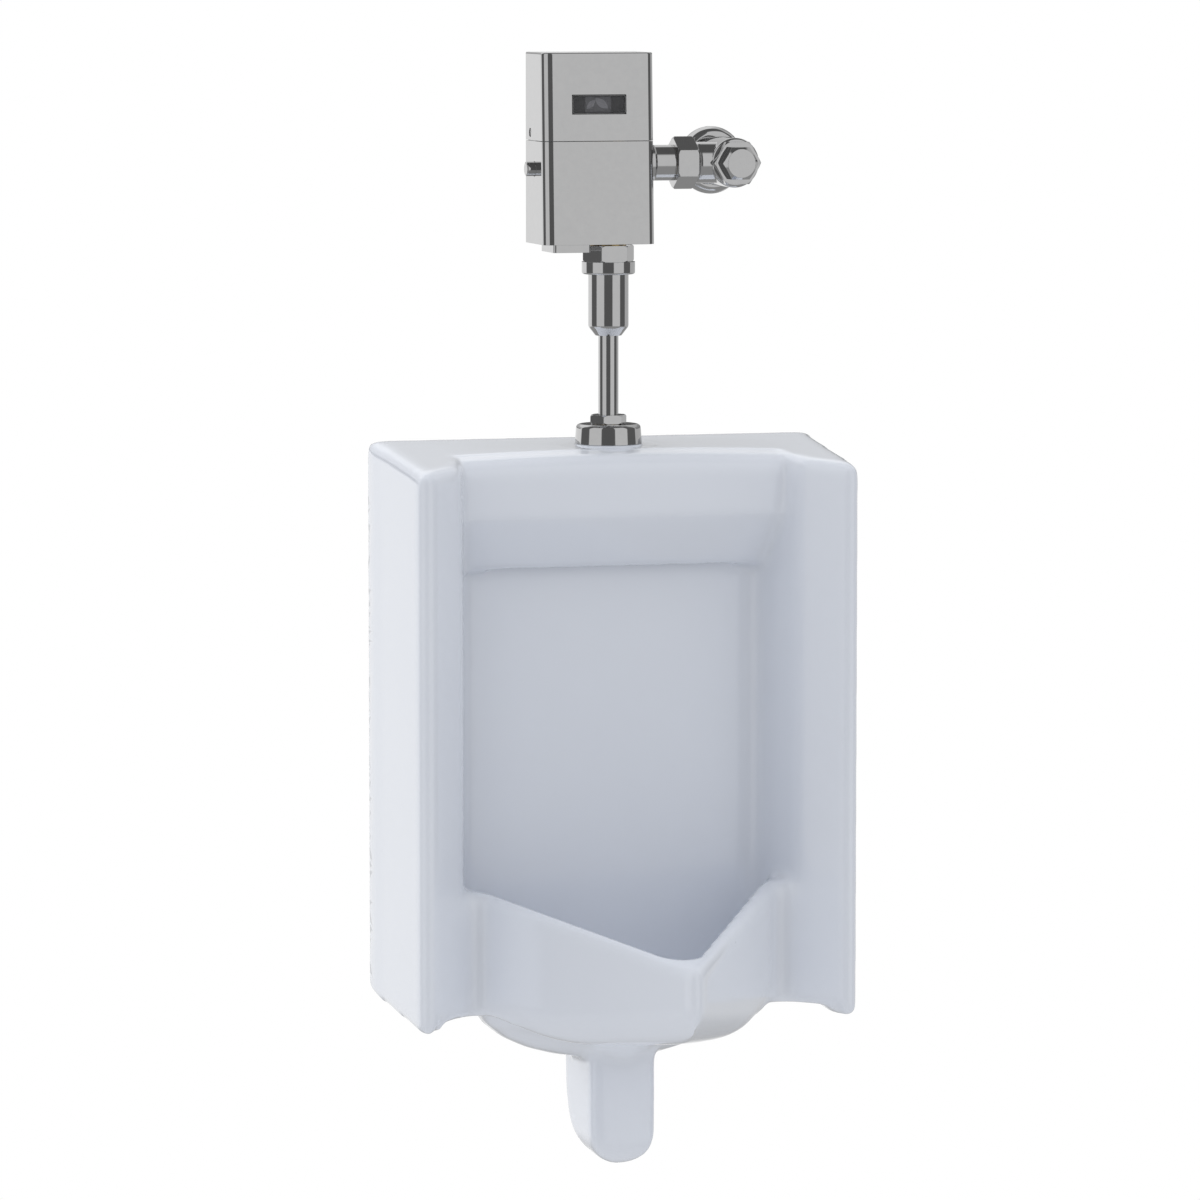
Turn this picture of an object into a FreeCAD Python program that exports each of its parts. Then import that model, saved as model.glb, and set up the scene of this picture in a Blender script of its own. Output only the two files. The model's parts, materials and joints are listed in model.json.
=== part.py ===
import FreeCAD, Part
import math
import os

import Sketcher

# A wall-hung urinal with a battery-powered sensor flush valve.
# The frame: +Z up, the wall is the plane Y = 0, the front faces -Y, X = 0 is the middle of the china,
# and the origin is the centre of the waste outlet on the wall. "Depth" is the distance out from the wall.

# Driving sizes in millimetres.
SIZES = {
    # shared clearances
    "overrun": 6.0,
    "fit_gap": 0.1,
    "running_gap": 0.3,
    "seat_gap": 0.2,
    # china: wings, top and base
    "back_width": 438.0,
    "wing_depth": 185.0,
    "wing_face": 12.0,
    "wing_outer_round": 8.0,
    "wing_inner_round": 7.0,
    "top_height": 564.5,
    "top_fall": 18.0,
    "base_height": 37.4,
    "base_fall": 12.0,
    "top_round": 8.0,
    "base_round": 5.0,
    # china: recess and hood
    "recess_depth": 72.0,
    "recess_corner_round": 18.0,
    "splay_round": 30.0,
    "hood_depth": 144.0,
    "hood_edge_round": 12.0,
    "crease_depth": 122.0,
    "hood_lip_depth": 87.0,
    "hood_crease_round": 40.0,
    "hood_lip_round": 4.0,
    # china: projecting lip
    "prow_reach": 190.0,
    "prow_round": 9.0,
    "cove_round": 14.0,
    "lip_wall": 17.8,
    "nose_inner_round": 18.0,
    "notch_height": 105.0,
    "notch_length": 14.0,
    "notch_round": 130.0,
    "rim_root_height": 148.0,
    "dip_height": 7.5,
    "dip_round": 130.0,
    "tip_base_height": 39.0,
    "lip_back_depth": 40.0,
    # china: bowl floor and the rounded hull under it
    "hull_back_depth": 52.0,
    "hull_side": 68.0,
    "bowl_back_depth": 73.0,
    "bowl_side": 49.0,
    "hull_top_height": 49.0,
    "hull_bottom_drop": 23.0,
    "bowl_top_height": 62.0,
    "bowl_floor_drop": 8.0,
    # china: trap horn, waste passage and outlet boss
    "horn_width": 64.0,
    "horn_depth": 122.0,
    "horn_bottom_drop": 123.0,
    "horn_heel_round": 80.0,
    "horn_toe_round": 18.0,
    "horn_wall": 12.0,
    "passage_radius": 16.0,
    "passage_bend": 18.0,
    "trap_rise_depth": 52.0,
    "outlet_bend_depth": 38.0,
    "outlet_setback": 20.0,
    "outlet_boss_radius": 35.0,
    "outlet_boss_length": 40.0,
    "ear_span": 104.0,
    "ear_radius": 14.0,
    "ear_thickness": 14.0,
    "ear_hole_radius": 4.6,
    # china: back hollow, hanger pockets, flush chamber and spud boss
    "china_wall": 11.0,
    "hollow_depth": 60.0,
    "hollow_wing_wall": 12.0,
    "hollow_low": 62.0,
    "pocket_width": 76.0,
    "pocket_depth": 26.0,
    "pocket_room": 2.0,
    "pocket_lip": 11.0,
    "chamber_wall": 15.0,
    "chamber_room": 3.0,
    "slot_width": 6.0,
    "slot_inset": 6.0,
    "spud_hole_radius": 19.0,
    "spud_boss_radius": 36.0,
    "spud_boss_round": 3.0,
    # strainer
    "strainer_radius": 19.0,
    "strainer_thickness": 2.0,
    "strainer_recess": 3.0,
    "strainer_hole_radius": 2.0,
    "strainer_inner_ring": 6.5,
    "strainer_outer_ring": 13.0,
    "strainer_leg_width": 4.0,
    "strainer_leg_thickness": 1.2,
    "strainer_leg_length": 14.0,
    # wall hangers
    "hanger_span": 220.0,
    "hanger_width": 60.0,
    "hanger_plate_height": 48.0,
    "hanger_thickness": 3.0,
    "hanger_reach": 14.0,
    "hanger_hook_height": 14.0,
    "hanger_hole_radius": 3.2,
    "hanger_hole_low": 12.0,
    "hanger_hole_pitch": 22.0,
    # outlet flange, gasket and closet bolts
    "outlet_gasket_thickness": 4.0,
    "outlet_flange_plate": 6.0,
    "outlet_thread_radius": 28.6,
    "outlet_thread_length": 12.0,
    "bolt_radius": 4.0,
    "bolt_head_radius": 8.0,
    "bolt_head_height": 5.0,
    "bolt_tail": 3.0,
    "bolt_washer_radius": 9.0,
    "bolt_washer_thickness": 2.0,
    "bolt_nut_corners": 15.0,
    "bolt_nut_height": 6.5,
    # spud and flush tube on the valve axis
    "valve_depth": 66.0,
    "spud_boss_rise": 3.4,
    "spud_radius": 16.5,
    "spud_neck_radius": 12.5,
    "spud_neck_start": 14.0,
    "spud_rise": 21.5,
    "spud_flange_radius": 25.0,
    "spud_flange_thickness": 4.0,
    "spud_gasket_thickness": 8.0,
    "spud_gasket_radius": 24.5,
    "lock_nut_corners": 50.0,
    "lock_nut_height": 7.0,
    "escutcheon_radius": 31.75,
    "escutcheon_top_radius": 30.4,
    "escutcheon_height": 18.5,
    "escutcheon_wall": 1.6,
    "escutcheon_round": 4.0,
    "slip_nut_corners": 35.4,
    "slip_nut_height": 8.5,
    "slip_nut_lip": 2.9,
    "slip_gasket_thickness": 2.4,
    "nut_chamfer": 1.6,
    "tube_radius": 9.525,
    "tube_wall": 1.2,
    "tube_exposed": 75.0,
    "tube_insert": 40.0,
    # vacuum breaker
    "breaker_radius": 19.05,
    "breaker_wall": 1.75,
    "breaker_neck_radius": 12.5,
    "breaker_shoulder": 8.4,
    "breaker_shoulder_round": 5.0,
    "breaker_hub": 12.0,
    "breaker_length": 49.5,
    "breaker_flange_radius": 22.8,
    "breaker_flange_thickness": 3.0,
    "insert_bore_radius": 11.0,
    "insert_sleeve_radius": 15.5,
    "insert_sleeve_length": 26.0,
    "insert_flange_thickness": 2.0,
    "collar_radius": 25.2,
    "collar_height": 11.8,
    "collar_lip": 2.2,
    "collar_round": 2.0,
    "adapter_corners": 50.0,
    "adapter_height": 15.5,
    "adapter_seat": 1.4,
    # valve case
    "case_gap": 2.0,
    "case_width": 108.5,
    "case_centre": 17.9,
    "case_height": 179.3,
    "case_back_depth": 35.0,
    "case_front_depth": 103.5,
    "case_lean": 7.0,
    "case_corner_round": 9.5,
    "case_edge_round": 1.6,
    "case_wall": 2.5,
    "case_seam_gap": 0.5,
    "back_plate_thickness": 2.5,
    "tray_width": 36.0,
    "tray_left_inset": 10.0,
    "tray_front_inset": 4.5,
    "tray_length": 46.0,
    "tray_height": 7.4,
    "tray_round": 2.5,
    # sensor and power
    "window_width": 52.5,
    "window_height": 18.4,
    "window_recess": 0.8,
    "window_thickness": 2.0,
    "window_gap": 0.25,
    "module_width": 62.0,
    "module_height": 22.0,
    "module_front_gap": 1.0,
    "lens_radius": 6.0,
    "lens_spacing": 24.0,
    "lens_length": 0.7,
    "board_width": 92.0,
    "board_height": 46.0,
    "board_thickness": 1.6,
    "board_foot": 2.0,
    "battery_case_width": 48.0,
    "battery_case_height": 42.0,
    "battery_case_depth": 26.0,
    "battery_case_wall": 2.0,
    "battery_radius": 8.5,
    "battery_length": 34.5,
    # valve body
    "spigot_radius": 17.0,
    "spigot_bore_radius": 13.0,
    "barrel_radius": 28.2,
    "chamber_radius": 22.0,
    "cap_thread_radius": 24.0,
    "cap_thread_height": 8.0,
    "cap_flange_radius": 27.0,
    "cap_flange_height": 4.0,
    "cap_pin_radius": 5.0,
    "cap_pin_length": 6.0,
    "neck_radius": 16.0,
    "neck_bore_radius": 10.5,
    "neck_end": 66.0,
    "pilot_boss_radius": 9.0,
    "pilot_bore_radius": 1.5,
    "solenoid_boss_end": 34.0,
    "button_boss_end": 47.0,
    # piston
    "washer_radius": 17.0,
    "washer_bore_radius": 8.1,
    "washer_thickness": 3.0,
    "piston_guide_radius": 8.0,
    "piston_guide_length": 14.0,
    "piston_base_height": 6.0,
    "piston_stem_radius": 13.0,
    "piston_head_radius": 21.6,
    "piston_head_rise": 12.0,
    "piston_head_height": 7.5,
    "piston_pocket_radius": 10.0,
    "piston_pocket_depth": 34.0,
    "seal_bore_radius": 19.5,
    "seal_outer_radius": 21.92,
    "seal_height": 3.0,
    "piston_spring_radius": 7.6,
    "piston_spring_wire": 1.4,
    "spring_end_gap": 0.25,
    # solenoid
    "coil_radius": 12.5,
    "coil_length": 30.0,
    "coil_end_wall": 3.0,
    "armature_radius": 5.0,
    "armature_length": 15.0,
    "armature_pin_radius": 1.8,
    "solenoid_spring_radius": 3.4,
    "solenoid_spring_wire": 0.8,
    # flush button and cover screws
    "button_radius": 6.75,
    "button_reach": 8.5,
    "button_round": 1.2,
    "button_hole_gap": 0.4,
    "button_collar_radius": 8.8,
    "button_collar_thickness": 2.0,
    "button_stem_radius": 3.0,
    "button_stem_insert": 10.0,
    "button_guide_depth": 15.0,
    "button_spring_radius": 5.2,
    "button_spring_wire": 0.9,
    "screw_rise": 7.3,
    "screw_depth": 51.0,
    "screw_hole_radius": 4.2,
    "screw_head_radius": 3.6,
    "screw_head_height": 1.8,
    "screw_radius": 1.8,
    "screw_length": 7.0,
    "tab_width": 20.0,
    "tab_overlap": 4.0,
    "tab_rise": 16.0,
    "tab_thickness": 2.5,
    # supply: trim ring, coupling nut, tailpiece
    "stop_across": 119.2,
    "trim_radius": 19.3,
    "trim_flange": 4.6,
    "trim_slope": 2.4,
    "trim_sleeve_radius": 16.8,
    "supply_nut_corners": 49.6,
    "supply_nut_length": 20.0,
    "supply_nut_overlap": 3.0,
    "tailpiece_radius": 12.5,
    "tailpiece_bore_radius": 9.5,
    "tailpiece_length": 34.0,
    "tailpiece_flange_radius": 15.8,
    "tailpiece_flange_thickness": 3.0,
    "tailpiece_gasket_thickness": 2.0,
    "ring_section": 2.4,
    "ring_inset": 6.0,
    # control stop, measured out from the wall
    "stop_back": 4.0,
    "stop_neck_radius": 17.0,
    "stop_thread_radius": 12.3,
    "stop_thread_length": 24.0,
    "stop_neck_length": 26.0,
    "stop_barrel_radius": 23.5,
    "stop_front_rim": 0.5,
    "stop_front_round": 3.0,
    "stop_seat_set": 30.0,
    "stop_lift": 8.0,
    "stop_seat_bore_radius": 8.5,
    "stop_chamber_radius": 17.0,
    "stop_side_radius": 19.5,
    "stop_side_round": 4.0,
    "stop_side_gap": 0.5,
    "bonnet_corners": 46.0,
    "bonnet_height": 8.0,
    "bonnet_plug": 7.0,
    "bonnet_nose_radius": 13.2,
    "bonnet_nose": 7.0,
    "stop_cap_corners": 35.0,
    "stop_cap_height": 12.0,
    "stop_cap_wall": 3.0,
    "stop_cap_round": 4.0,
    "spindle_radius": 6.0,
    "spindle_length": 46.0,
    "spindle_slot_width": 1.6,
    "spindle_slot_depth": 2.0,
    "plunger_radius": 13.5,
    "plunger_length": 12.5,
    "plunger_floor": 5.5,
    "stop_washer_radius": 11.5,
    "stop_washer_thickness": 3.5,
    "wall_plate_radius": 32.2,
    "wall_plate_edge": 3.0,
    "wall_plate_height": 13.0,
    "wall_plate_wall": 1.6,
    "wall_plate_round": 6.0,
}

# Shares: how far along, or how much of, the size they multiply.
# The china's widths are shares of its back width, its depths of the wings' depth, its heights of its top.
WIDTH_SHARES = {
    "front": 0.972, "hood": 0.836, "recess": 0.662, "chamber": 0.548,
    "lip_back": 0.913, "lip_root": 0.671, "hull": 0.63, "bowl": 0.557,
}
DEPTH_SHARES = {"lip_root": 0.73, "hollow_wing": 0.81, "dip": 1.07}
HEIGHT_SHARES = {
    "hollow": 0.779,
    "hood_lip": 0.7865,
    "hanger": 0.8096,
    "waist": 0.85,
    "crease": 0.877,
    "chamber": 0.9566,
}
CASE_SHARES = {
    "seat": 0.1115, "solenoid": 0.1896, "button": 0.392, "inlet": 0.4172, "chamber": 0.4462, "seam": 0.5393,
    "window": 0.7306,
}
RIM_ROUND_SHARE = 0.45
HULL_REACH_SHARE = 0.901
HULL_ROUND_SHARE = 0.235
BOWL_REACH_SHARE = 0.821
BOWL_ROUND_SHARE = 0.184
SPLAY_SHARE = 0.3
LIP_END_SHARE = 0.85
# Each hull or bowl section: fall from top to bottom, width, length of its straight side, and reach.
HULL_SHARES = (
    (0.0, 1.0, 1.0, 1.0),
    (0.25, 0.985, 0.876, 0.8),
    (0.5, 0.92, 0.718, 0.6),
    (0.72, 0.78, 0.576, 0.47),
    (0.88, 0.6, 0.488, 0.41),
    (1.0, 0.37, 0.435, 0.38),
)
BOWL_SHARES = (
    (0.0, 1.0, 1.0, 1.0),
    (0.3, 0.95, 0.751, 0.75),
    (0.6, 0.82, 0.502, 0.52),
    (0.85, 0.58, 0.402, 0.44),
    (1.0, 0.28, 0.353, 0.4),
)

SPRING_TURNS = {"piston": 4, "solenoid": 4, "button": 4}
INNER_HOLES = 6
OUTER_HOLES = 12
STRAINER_LEGS = 3
FULL_TURN = 360.0

doc = FreeCAD.newDocument("urinal")
sheet = doc.addObject("Spreadsheet::Sheet", "Sizes")
for row, (name, value) in enumerate(SIZES.items(), start=1):
    sheet.set("A%d" % row, name)
    sheet.set("B%d" % row, str(value))
    sheet.setAlias("B%d" % row, name)
doc.recompute()


class Length:
    """A size in millimetres together with the sheet expression that drives it."""

    def __init__(self, value, text):
        self.value = value
        self.text = text

    def __add__(self, other):
        return Length(self.value + value_of(other), "(%s + %s)" % (self.text, text_of(other)))

    def __radd__(self, other):
        return self + other

    def __sub__(self, other):
        return Length(self.value - value_of(other), "(%s - %s)" % (self.text, text_of(other)))

    def __rsub__(self, other):
        return -self + other

    def __mul__(self, other):
        return Length(self.value * value_of(other), "(%s * %s)" % (self.text, text_of(other)))

    def __rmul__(self, other):
        return self * other

    def __truediv__(self, other):
        return Length(self.value / value_of(other), "(%s / %s)" % (self.text, text_of(other)))

    def __neg__(self):
        return Length(-self.value, "(-1 * %s)" % self.text)


def root(length):
    """Square root, kept as a sheet expression."""
    return Length(math.sqrt(length.value), "sqrt(%s)" % length.text)


def value_of(size_or_number):
    return size_or_number.value if isinstance(size_or_number, Length) else size_or_number


def text_of(size_or_number):
    return size_or_number.text if isinstance(size_or_number, Length) else repr(size_or_number)


class SheetSizes:
    """Reads a named size from the sheet as a Length."""

    def __getattr__(self, name):
        return Length(float(sheet.get(name)), "Sizes." + name)


size = SheetSizes()
nodes = []

# Directions: a turned piece or an extrusion is drawn along its own Z, which these turn to face
# up, out from the wall or to the right.
UP = FreeCAD.Rotation()
OUT = FreeCAD.Rotation(FreeCAD.Vector(1, 0, 0), 90)
RIGHT = FreeCAD.Rotation(FreeCAD.Vector(0, 1, 0), 90)
# Sketch planes: plan is (across, depth) and extrudes down, side is (depth, height) and extrudes
# to the left, front is (across, height) and extrudes out from the wall.
PLAN = FreeCAD.Rotation(FreeCAD.Vector(1, 0, 0), 180)
SIDE = FreeCAD.Rotation(FreeCAD.Vector(0, -1, 0), FreeCAD.Vector(0, 0, 1), FreeCAD.Vector(-1, 0, 0), "ZXY")
FRONT = OUT


def bind(item, name, length):
    """Ties a property to the sheet, or leaves it at zero."""
    if isinstance(length, Length):
        item.setExpression(name, length.text)


def place(item, turn, across, out, height):
    """Puts an item at (across, Y, height) with its own Z turned to face turn."""
    item.Placement = FreeCAD.Placement(FreeCAD.Vector(), turn)
    bind(item, "Placement.Base.x", across)
    bind(item, "Placement.Base.y", out)
    bind(item, "Placement.Base.z", height)


def node(label, item):
    """Names a finished sub-part."""
    item.Label = label
    nodes.append(item)
    return item


def locate(sketch, geometry, end, corner, rules, drives):
    """Fixes one point of a sketch at a corner's two sizes, or on an axis where a size is zero."""
    for kind, axis, length in (("DistanceX", -2, corner[0]), ("DistanceY", -1, corner[1])):
        if isinstance(length, Length):
            drives[len(rules)] = length
            rules.append(Sketcher.Constraint(kind, -1, 1, geometry, end, length.value))
        else:
            rules.append(Sketcher.Constraint("PointOnObject", geometry, end, axis))


def outline(sketch, corners, closed=True):
    """Draws straight runs through corners of (across, along) or (across, along, round).

    A corner with a round gets an arc of that radius, tangent to both of its runs.
    """
    points = [FreeCAD.Vector(value_of(corner[0]), value_of(corner[1]), 0) for corner in corners]
    count = len(corners)
    arrive = list(points)
    leave = list(points)
    arcs = {}
    for index, corner in enumerate(corners):
        if len(corner) < 3:
            continue
        radius = corner[2].value
        before = (points[index - 1] - points[index]).normalize()
        after = (points[(index + 1) % count] - points[index]).normalize()
        half = before.getAngle(after) / 2
        centre = points[index] + (before + after).normalize() * (radius / math.sin(half))
        arrive[index] = points[index] + before * (radius / math.tan(half))
        leave[index] = points[index] + after * (radius / math.tan(half))
        left_turn = before.cross(after).z < 0
        first = arrive[index] if left_turn else leave[index]
        last = leave[index] if left_turn else arrive[index]
        angles = [math.atan2(point.y - centre.y, point.x - centre.x) for point in (first, last)]
        circle = Part.Circle(centre, FreeCAD.Vector(0, 0, 1), radius)
        arcs[index] = (Part.ArcOfCircle(circle, angles[0], angles[1]), left_turn)
    runs = []
    for index in range(count if closed else count - 1):
        run = Part.LineSegment(leave[index], arrive[(index + 1) % count])
        runs.append(sketch.addGeometry(run, False))
    rules = []
    drives = {}
    for index, corner in enumerate(corners):
        inner = closed or 0 < index < count - 1
        if index in arcs:
            arc, left_turn = arcs[index]
            bend = sketch.addGeometry(arc, False)
            mark = sketch.addGeometry(Part.Point(points[index]), True)
            ends = (1, 2) if left_turn else (2, 1)
            rules.append(Sketcher.Constraint("PointOnObject", mark, 1, runs[index - 1]))
            rules.append(Sketcher.Constraint("PointOnObject", mark, 1, runs[index]))
            rules.append(Sketcher.Constraint("Tangent", runs[index - 1], 2, bend, ends[0]))
            rules.append(Sketcher.Constraint("Tangent", runs[index], 1, bend, ends[1]))
            drives[len(rules)] = corner[2]
            rules.append(Sketcher.Constraint("Radius", bend, corner[2].value))
            locate(sketch, mark, 1, corner, rules, drives)
        elif inner:
            rules.append(Sketcher.Constraint("Coincident", runs[index - 1], 2, runs[index], 1))
            locate(sketch, runs[index], 1, corner, rules, drives)
        else:
            end = 1 if index == 0 else 2
            locate(sketch, runs[0] if index == 0 else runs[-1], end, corner, rules, drives)
    sketch.addConstraint(rules)
    for index, length in drives.items():
        sketch.setExpression("Constraints[%d]" % index, length.text)


def circle(sketch, across, along, radius):
    """Draws one circle about (across, along)."""
    centre = FreeCAD.Vector(value_of(across), value_of(along), 0)
    ring = sketch.addGeometry(Part.Circle(centre, FreeCAD.Vector(0, 0, 1), radius.value), False)
    rules = [Sketcher.Constraint("Radius", ring, radius.value)]
    drives = {0: radius}
    locate(sketch, ring, 3, (across, along), rules, drives)
    sketch.addConstraint(rules)
    for index, length in drives.items():
        sketch.setExpression("Constraints[%d]" % index, length.text)


def mirrored(corners):
    """Adds the left half to the right half of an outline that starts and ends near the middle."""
    flipped = [(-corner[0],) + tuple(corner[1:]) for corner in reversed(corners) if value_of(corner[0])]
    return list(corners) + flipped


def drawing(name, plane, start, corners, closed=True):
    """A sketch of an outline on a plan, side or front plane that stands off by start."""
    sketch = doc.addObject("Sketcher::SketchObject", name)
    outline(sketch, corners, closed)
    if plane is PLAN:
        place(sketch, plane, 0, 0, start)
    elif plane is SIDE:
        place(sketch, plane, start, 0, 0)
    else:
        place(sketch, plane, 0, -start if isinstance(start, Length) else 0, 0)
    return sketch


def prism(name, plane, corners, start, length):
    """An outline extruded straight from its plane."""
    solid = doc.addObject("Part::Extrusion", name)
    solid.Base = drawing(name + "_outline", plane, start, corners)
    solid.DirMode = "Normal"
    solid.Solid = True
    bind(solid, "LengthFwd", length)
    return solid


def axis_up(across, depth):
    return (UP, across, -depth, 0)


def axis_out(across, height):
    return (OUT, across, 0, height)


def axis_right(depth, height):
    return (RIGHT, 0, -depth, height)


def along(axis, start):
    """The point at a distance along an axis."""
    turn, across, out, height = axis
    if turn is UP:
        return across, out, height + start
    if turn is OUT:
        return across, out - start, height
    return across + start, out, height


def turned(name, profile, axis):
    """A body of revolution: its profile is (radius, distance along the axis)."""
    body = doc.addObject("PartDesign::Body", name)
    sketch = body.newObject("Sketcher::SketchObject", name + "_profile")
    plane = next(item for item in body.Origin.OriginFeatures if item.Role == "XZ_Plane")
    sketch.AttachmentSupport = [(plane, "")]
    sketch.MapMode = "FlatFace"
    outline(sketch, profile)
    spin = body.newObject("PartDesign::Revolution", name + "_turn")
    spin.Profile = sketch
    spin.ReferenceAxis = (sketch, ["V_Axis"])
    spin.Angle = FULL_TURN
    body.Tip = spin
    place(body, *axis)
    return body


def ring(name, inner, outer, start, length, axis):
    """A plain ring or washer."""
    corners = [(inner, start), (outer, start), (outer, start + length), (inner, start + length)]
    return turned(name, corners, axis)


def rod(name, radius, start, length, axis):
    """A plain cylinder along an axis."""
    solid = doc.addObject("Part::Cylinder", name)
    bind(solid, "Radius", radius)
    bind(solid, "Height", length)
    place(solid, axis[0], *along(axis, start))
    return solid


def hexagon(name, corners, start, length, axis):
    """A hexagonal bar along an axis, by its size across corners."""
    solid = doc.addObject("Part::Prism", name)
    solid.Polygon = 6
    bind(solid, "Circumradius", corners / 2)
    bind(solid, "Height", length)
    place(solid, axis[0], *along(axis, start))
    return solid


def block(name, left, right, near, far, low, high):
    """A box between two widths, two depths and two heights."""
    solid = doc.addObject("Part::Box", name)
    bind(solid, "Length", right - left)
    bind(solid, "Width", far - near)
    bind(solid, "Height", high - low)
    place(solid, UP, left, -far, low)
    return solid


def fuse(name, *solids):
    joined = doc.addObject("Part::MultiFuse", name)
    joined.Shapes = list(solids)
    joined.Refine = True
    return joined


def common(name, *solids):
    shared = doc.addObject("Part::MultiCommon", name)
    shared.Shapes = list(solids)
    shared.Refine = True
    return shared


def cut(name, base, *tools):
    """Takes the tools from the base."""
    left = doc.addObject("Part::Cut", name + "_cut")
    left.Base = base
    left.Tool = tools[0] if len(tools) == 1 else fuse(name + "_tools", *tools)
    left.Refine = True
    return left


def softened(name, base, *rounds):
    """Rounds the edges that each test picks: rounds are (radius, test on an edge)."""
    body = doc.addObject("PartDesign::Body", name)
    body.BaseFeature = base
    doc.recompute()
    feature = body.Tip
    for index, (radius, picks) in enumerate(rounds):
        names = []
        for number, edge in enumerate(feature.Shape.Edges, start=1):
            if picks(edge):
                names.append("Edge%d" % number)
        fillet = body.newObject("PartDesign::Fillet", "%s_round%d" % (name, index + 1))
        fillet.Base = (feature, names)
        bind(fillet, "Radius", radius)
        doc.recompute()
        feature = fillet
    body.Tip = feature
    return body


def hex_nut(name, corners, start, length, axis, bore):
    """A hexagon with its corners turned off at the ends and a turned bore profile."""
    bar = hexagon(name + "_bar", corners, start, length, axis)
    radius = corners / 2
    low = start
    high = start + length
    chamfer = size.nut_chamfer
    crown = [(0, low), (radius - chamfer, low), (radius, low + chamfer), (radius, high - chamfer)]
    crown += [(radius - chamfer, high), (0, high)]
    solid = common(name + "_crown", bar, turned(name + "_turning", crown, axis))
    return cut(name, solid, turned(name + "_bore", bore, axis))


def bore_profile(*steps):
    """A stepped round hole: steps of (radius, start, end), each running on from the last."""
    corners = [(0, steps[0][1])]
    for radius, start, end in steps:
        corners += [(radius, start), (radius, end)]
    return corners + [(0, steps[-1][2])]


# Places that several pieces share.
def top_at(depth):
    """Height of the sloped top of the china."""
    return size.top_height - size.top_fall * depth / size.wing_depth


def base_at(depth):
    """Height of the sloped underside of the wings."""
    return size.base_height - size.base_fall * depth / size.wing_depth


def side_at(depth):
    """Half width of the china at a depth, between its back and front widths."""
    half = size.back_width / 2
    return half - (half - FRONT_HALF) * depth / size.wing_depth


# Half widths of the china.
FRONT_HALF = size.back_width * WIDTH_SHARES["front"] / 2
RECESS_HALF = size.back_width * WIDTH_SHARES["recess"] / 2
HOOD_HALF = size.back_width * WIDTH_SHARES["hood"] / 2
CHAMBER_HALF = size.back_width * WIDTH_SHARES["chamber"] / 2
LIP_BACK_HALF = size.back_width * WIDTH_SHARES["lip_back"] / 2
LIP_ROOT = size.back_width * WIDTH_SHARES["lip_root"] / 2
WING_IN = FRONT_HALF - size.wing_face

# Depths of the china, out from the wall.
LIP_ROOT_DEPTH = size.wing_depth * DEPTH_SHARES["lip_root"]
PROW_DEPTH = size.wing_depth + size.prow_reach
HOLLOW_WING_DEPTH = size.wing_depth * DEPTH_SHARES["hollow_wing"]
CHAMBER_BACK = size.valve_depth - size.spud_flange_radius - size.chamber_room
CHAMBER_FRONT = size.valve_depth + size.spud_flange_radius + size.chamber_room

# Heights of the china.
CREASE_HEIGHT = size.top_height * HEIGHT_SHARES["crease"]
HOOD_LIP_HEIGHT = size.top_height * HEIGHT_SHARES["hood_lip"]
HOLLOW_HIGH = size.top_height * HEIGHT_SHARES["hollow"]
CHAMBER_TOP = size.top_height * HEIGHT_SHARES["chamber"]
CHAMBER_WAIST = size.top_height * HEIGHT_SHARES["waist"]
HANGER_LOW = size.top_height * HEIGHT_SHARES["hanger"]
SPUD_SEAT = top_at(size.valve_depth) + size.spud_boss_rise

SPLAY_ACROSS = LIP_ROOT + (WING_IN - LIP_ROOT) * SPLAY_SHARE
SPLAY_DEPTH = LIP_ROOT_DEPTH + (size.wing_depth - LIP_ROOT_DEPTH) * SPLAY_SHARE
DRAIN_DEPTH = size.horn_depth - size.horn_wall - size.passage_radius
FLOOR = -size.bowl_floor_drop
VALVE = axis_up(0, size.valve_depth)
DRAIN = axis_up(0, DRAIN_DEPTH)
OUTLET = axis_out(0, 0)
EARS = (axis_out(-size.ear_span / 2, 0), axis_out(size.ear_span / 2, 0))
HANGERS = (("left", -size.hanger_span / 2), ("right", size.hanger_span / 2))
HANGER_TOP = HANGER_LOW + size.hanger_plate_height
GASKET_BACK = size.outlet_setback - size.outlet_gasket_thickness
FLANGE_BACK = GASKET_BACK - size.outlet_flange_plate

# Heights up the valve axis.
ESCUTCHEON_TOP = SPUD_SEAT + size.escutcheon_height
SPUD_TOP = SPUD_SEAT + size.spud_rise
SLIP_NUT_TOP = ESCUTCHEON_TOP + size.seat_gap + size.slip_nut_height
BREAKER_LOW = SLIP_NUT_TOP + size.tube_exposed
COLLAR_LOW = BREAKER_LOW + size.breaker_shoulder + size.breaker_length
COLLAR_SEAT = COLLAR_LOW + size.collar_lip
INSERT_LOW = COLLAR_SEAT + size.breaker_flange_thickness
ADAPTER_LOW = INSERT_LOW + size.insert_flange_thickness
HEX_LOW = COLLAR_LOW + size.collar_height
HEX_HIGH = HEX_LOW + size.adapter_height
CASE_LOW = HEX_HIGH + size.case_gap
CASE_HIGH = CASE_LOW + size.case_height
WINDOW_HEIGHT = CASE_LOW + size.case_height * CASE_SHARES["window"]
SEAM = CASE_LOW + size.case_height * CASE_SHARES["seam"]
CASE_LEFT = -size.case_centre - size.case_width / 2
CASE_RIGHT = size.case_width / 2 - size.case_centre
BARREL_LOW = CASE_LOW + size.case_wall
SEAT = BARREL_LOW + size.case_height * CASE_SHARES["seat"]
CHAMBER_HIGH = SEAT + size.case_height * CASE_SHARES["chamber"]
BARREL_HIGH = CHAMBER_HIGH + size.cap_thread_height
INLET_HEIGHT = CASE_LOW + size.case_height * CASE_SHARES["inlet"]
INLET = axis_right(size.valve_depth, INLET_HEIGHT)
BUTTON = axis_right(size.valve_depth, CASE_LOW + size.case_height * CASE_SHARES["button"])
SOLENOID = axis_right(size.valve_depth, CASE_LOW + size.case_height * CASE_SHARES["solenoid"])
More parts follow.
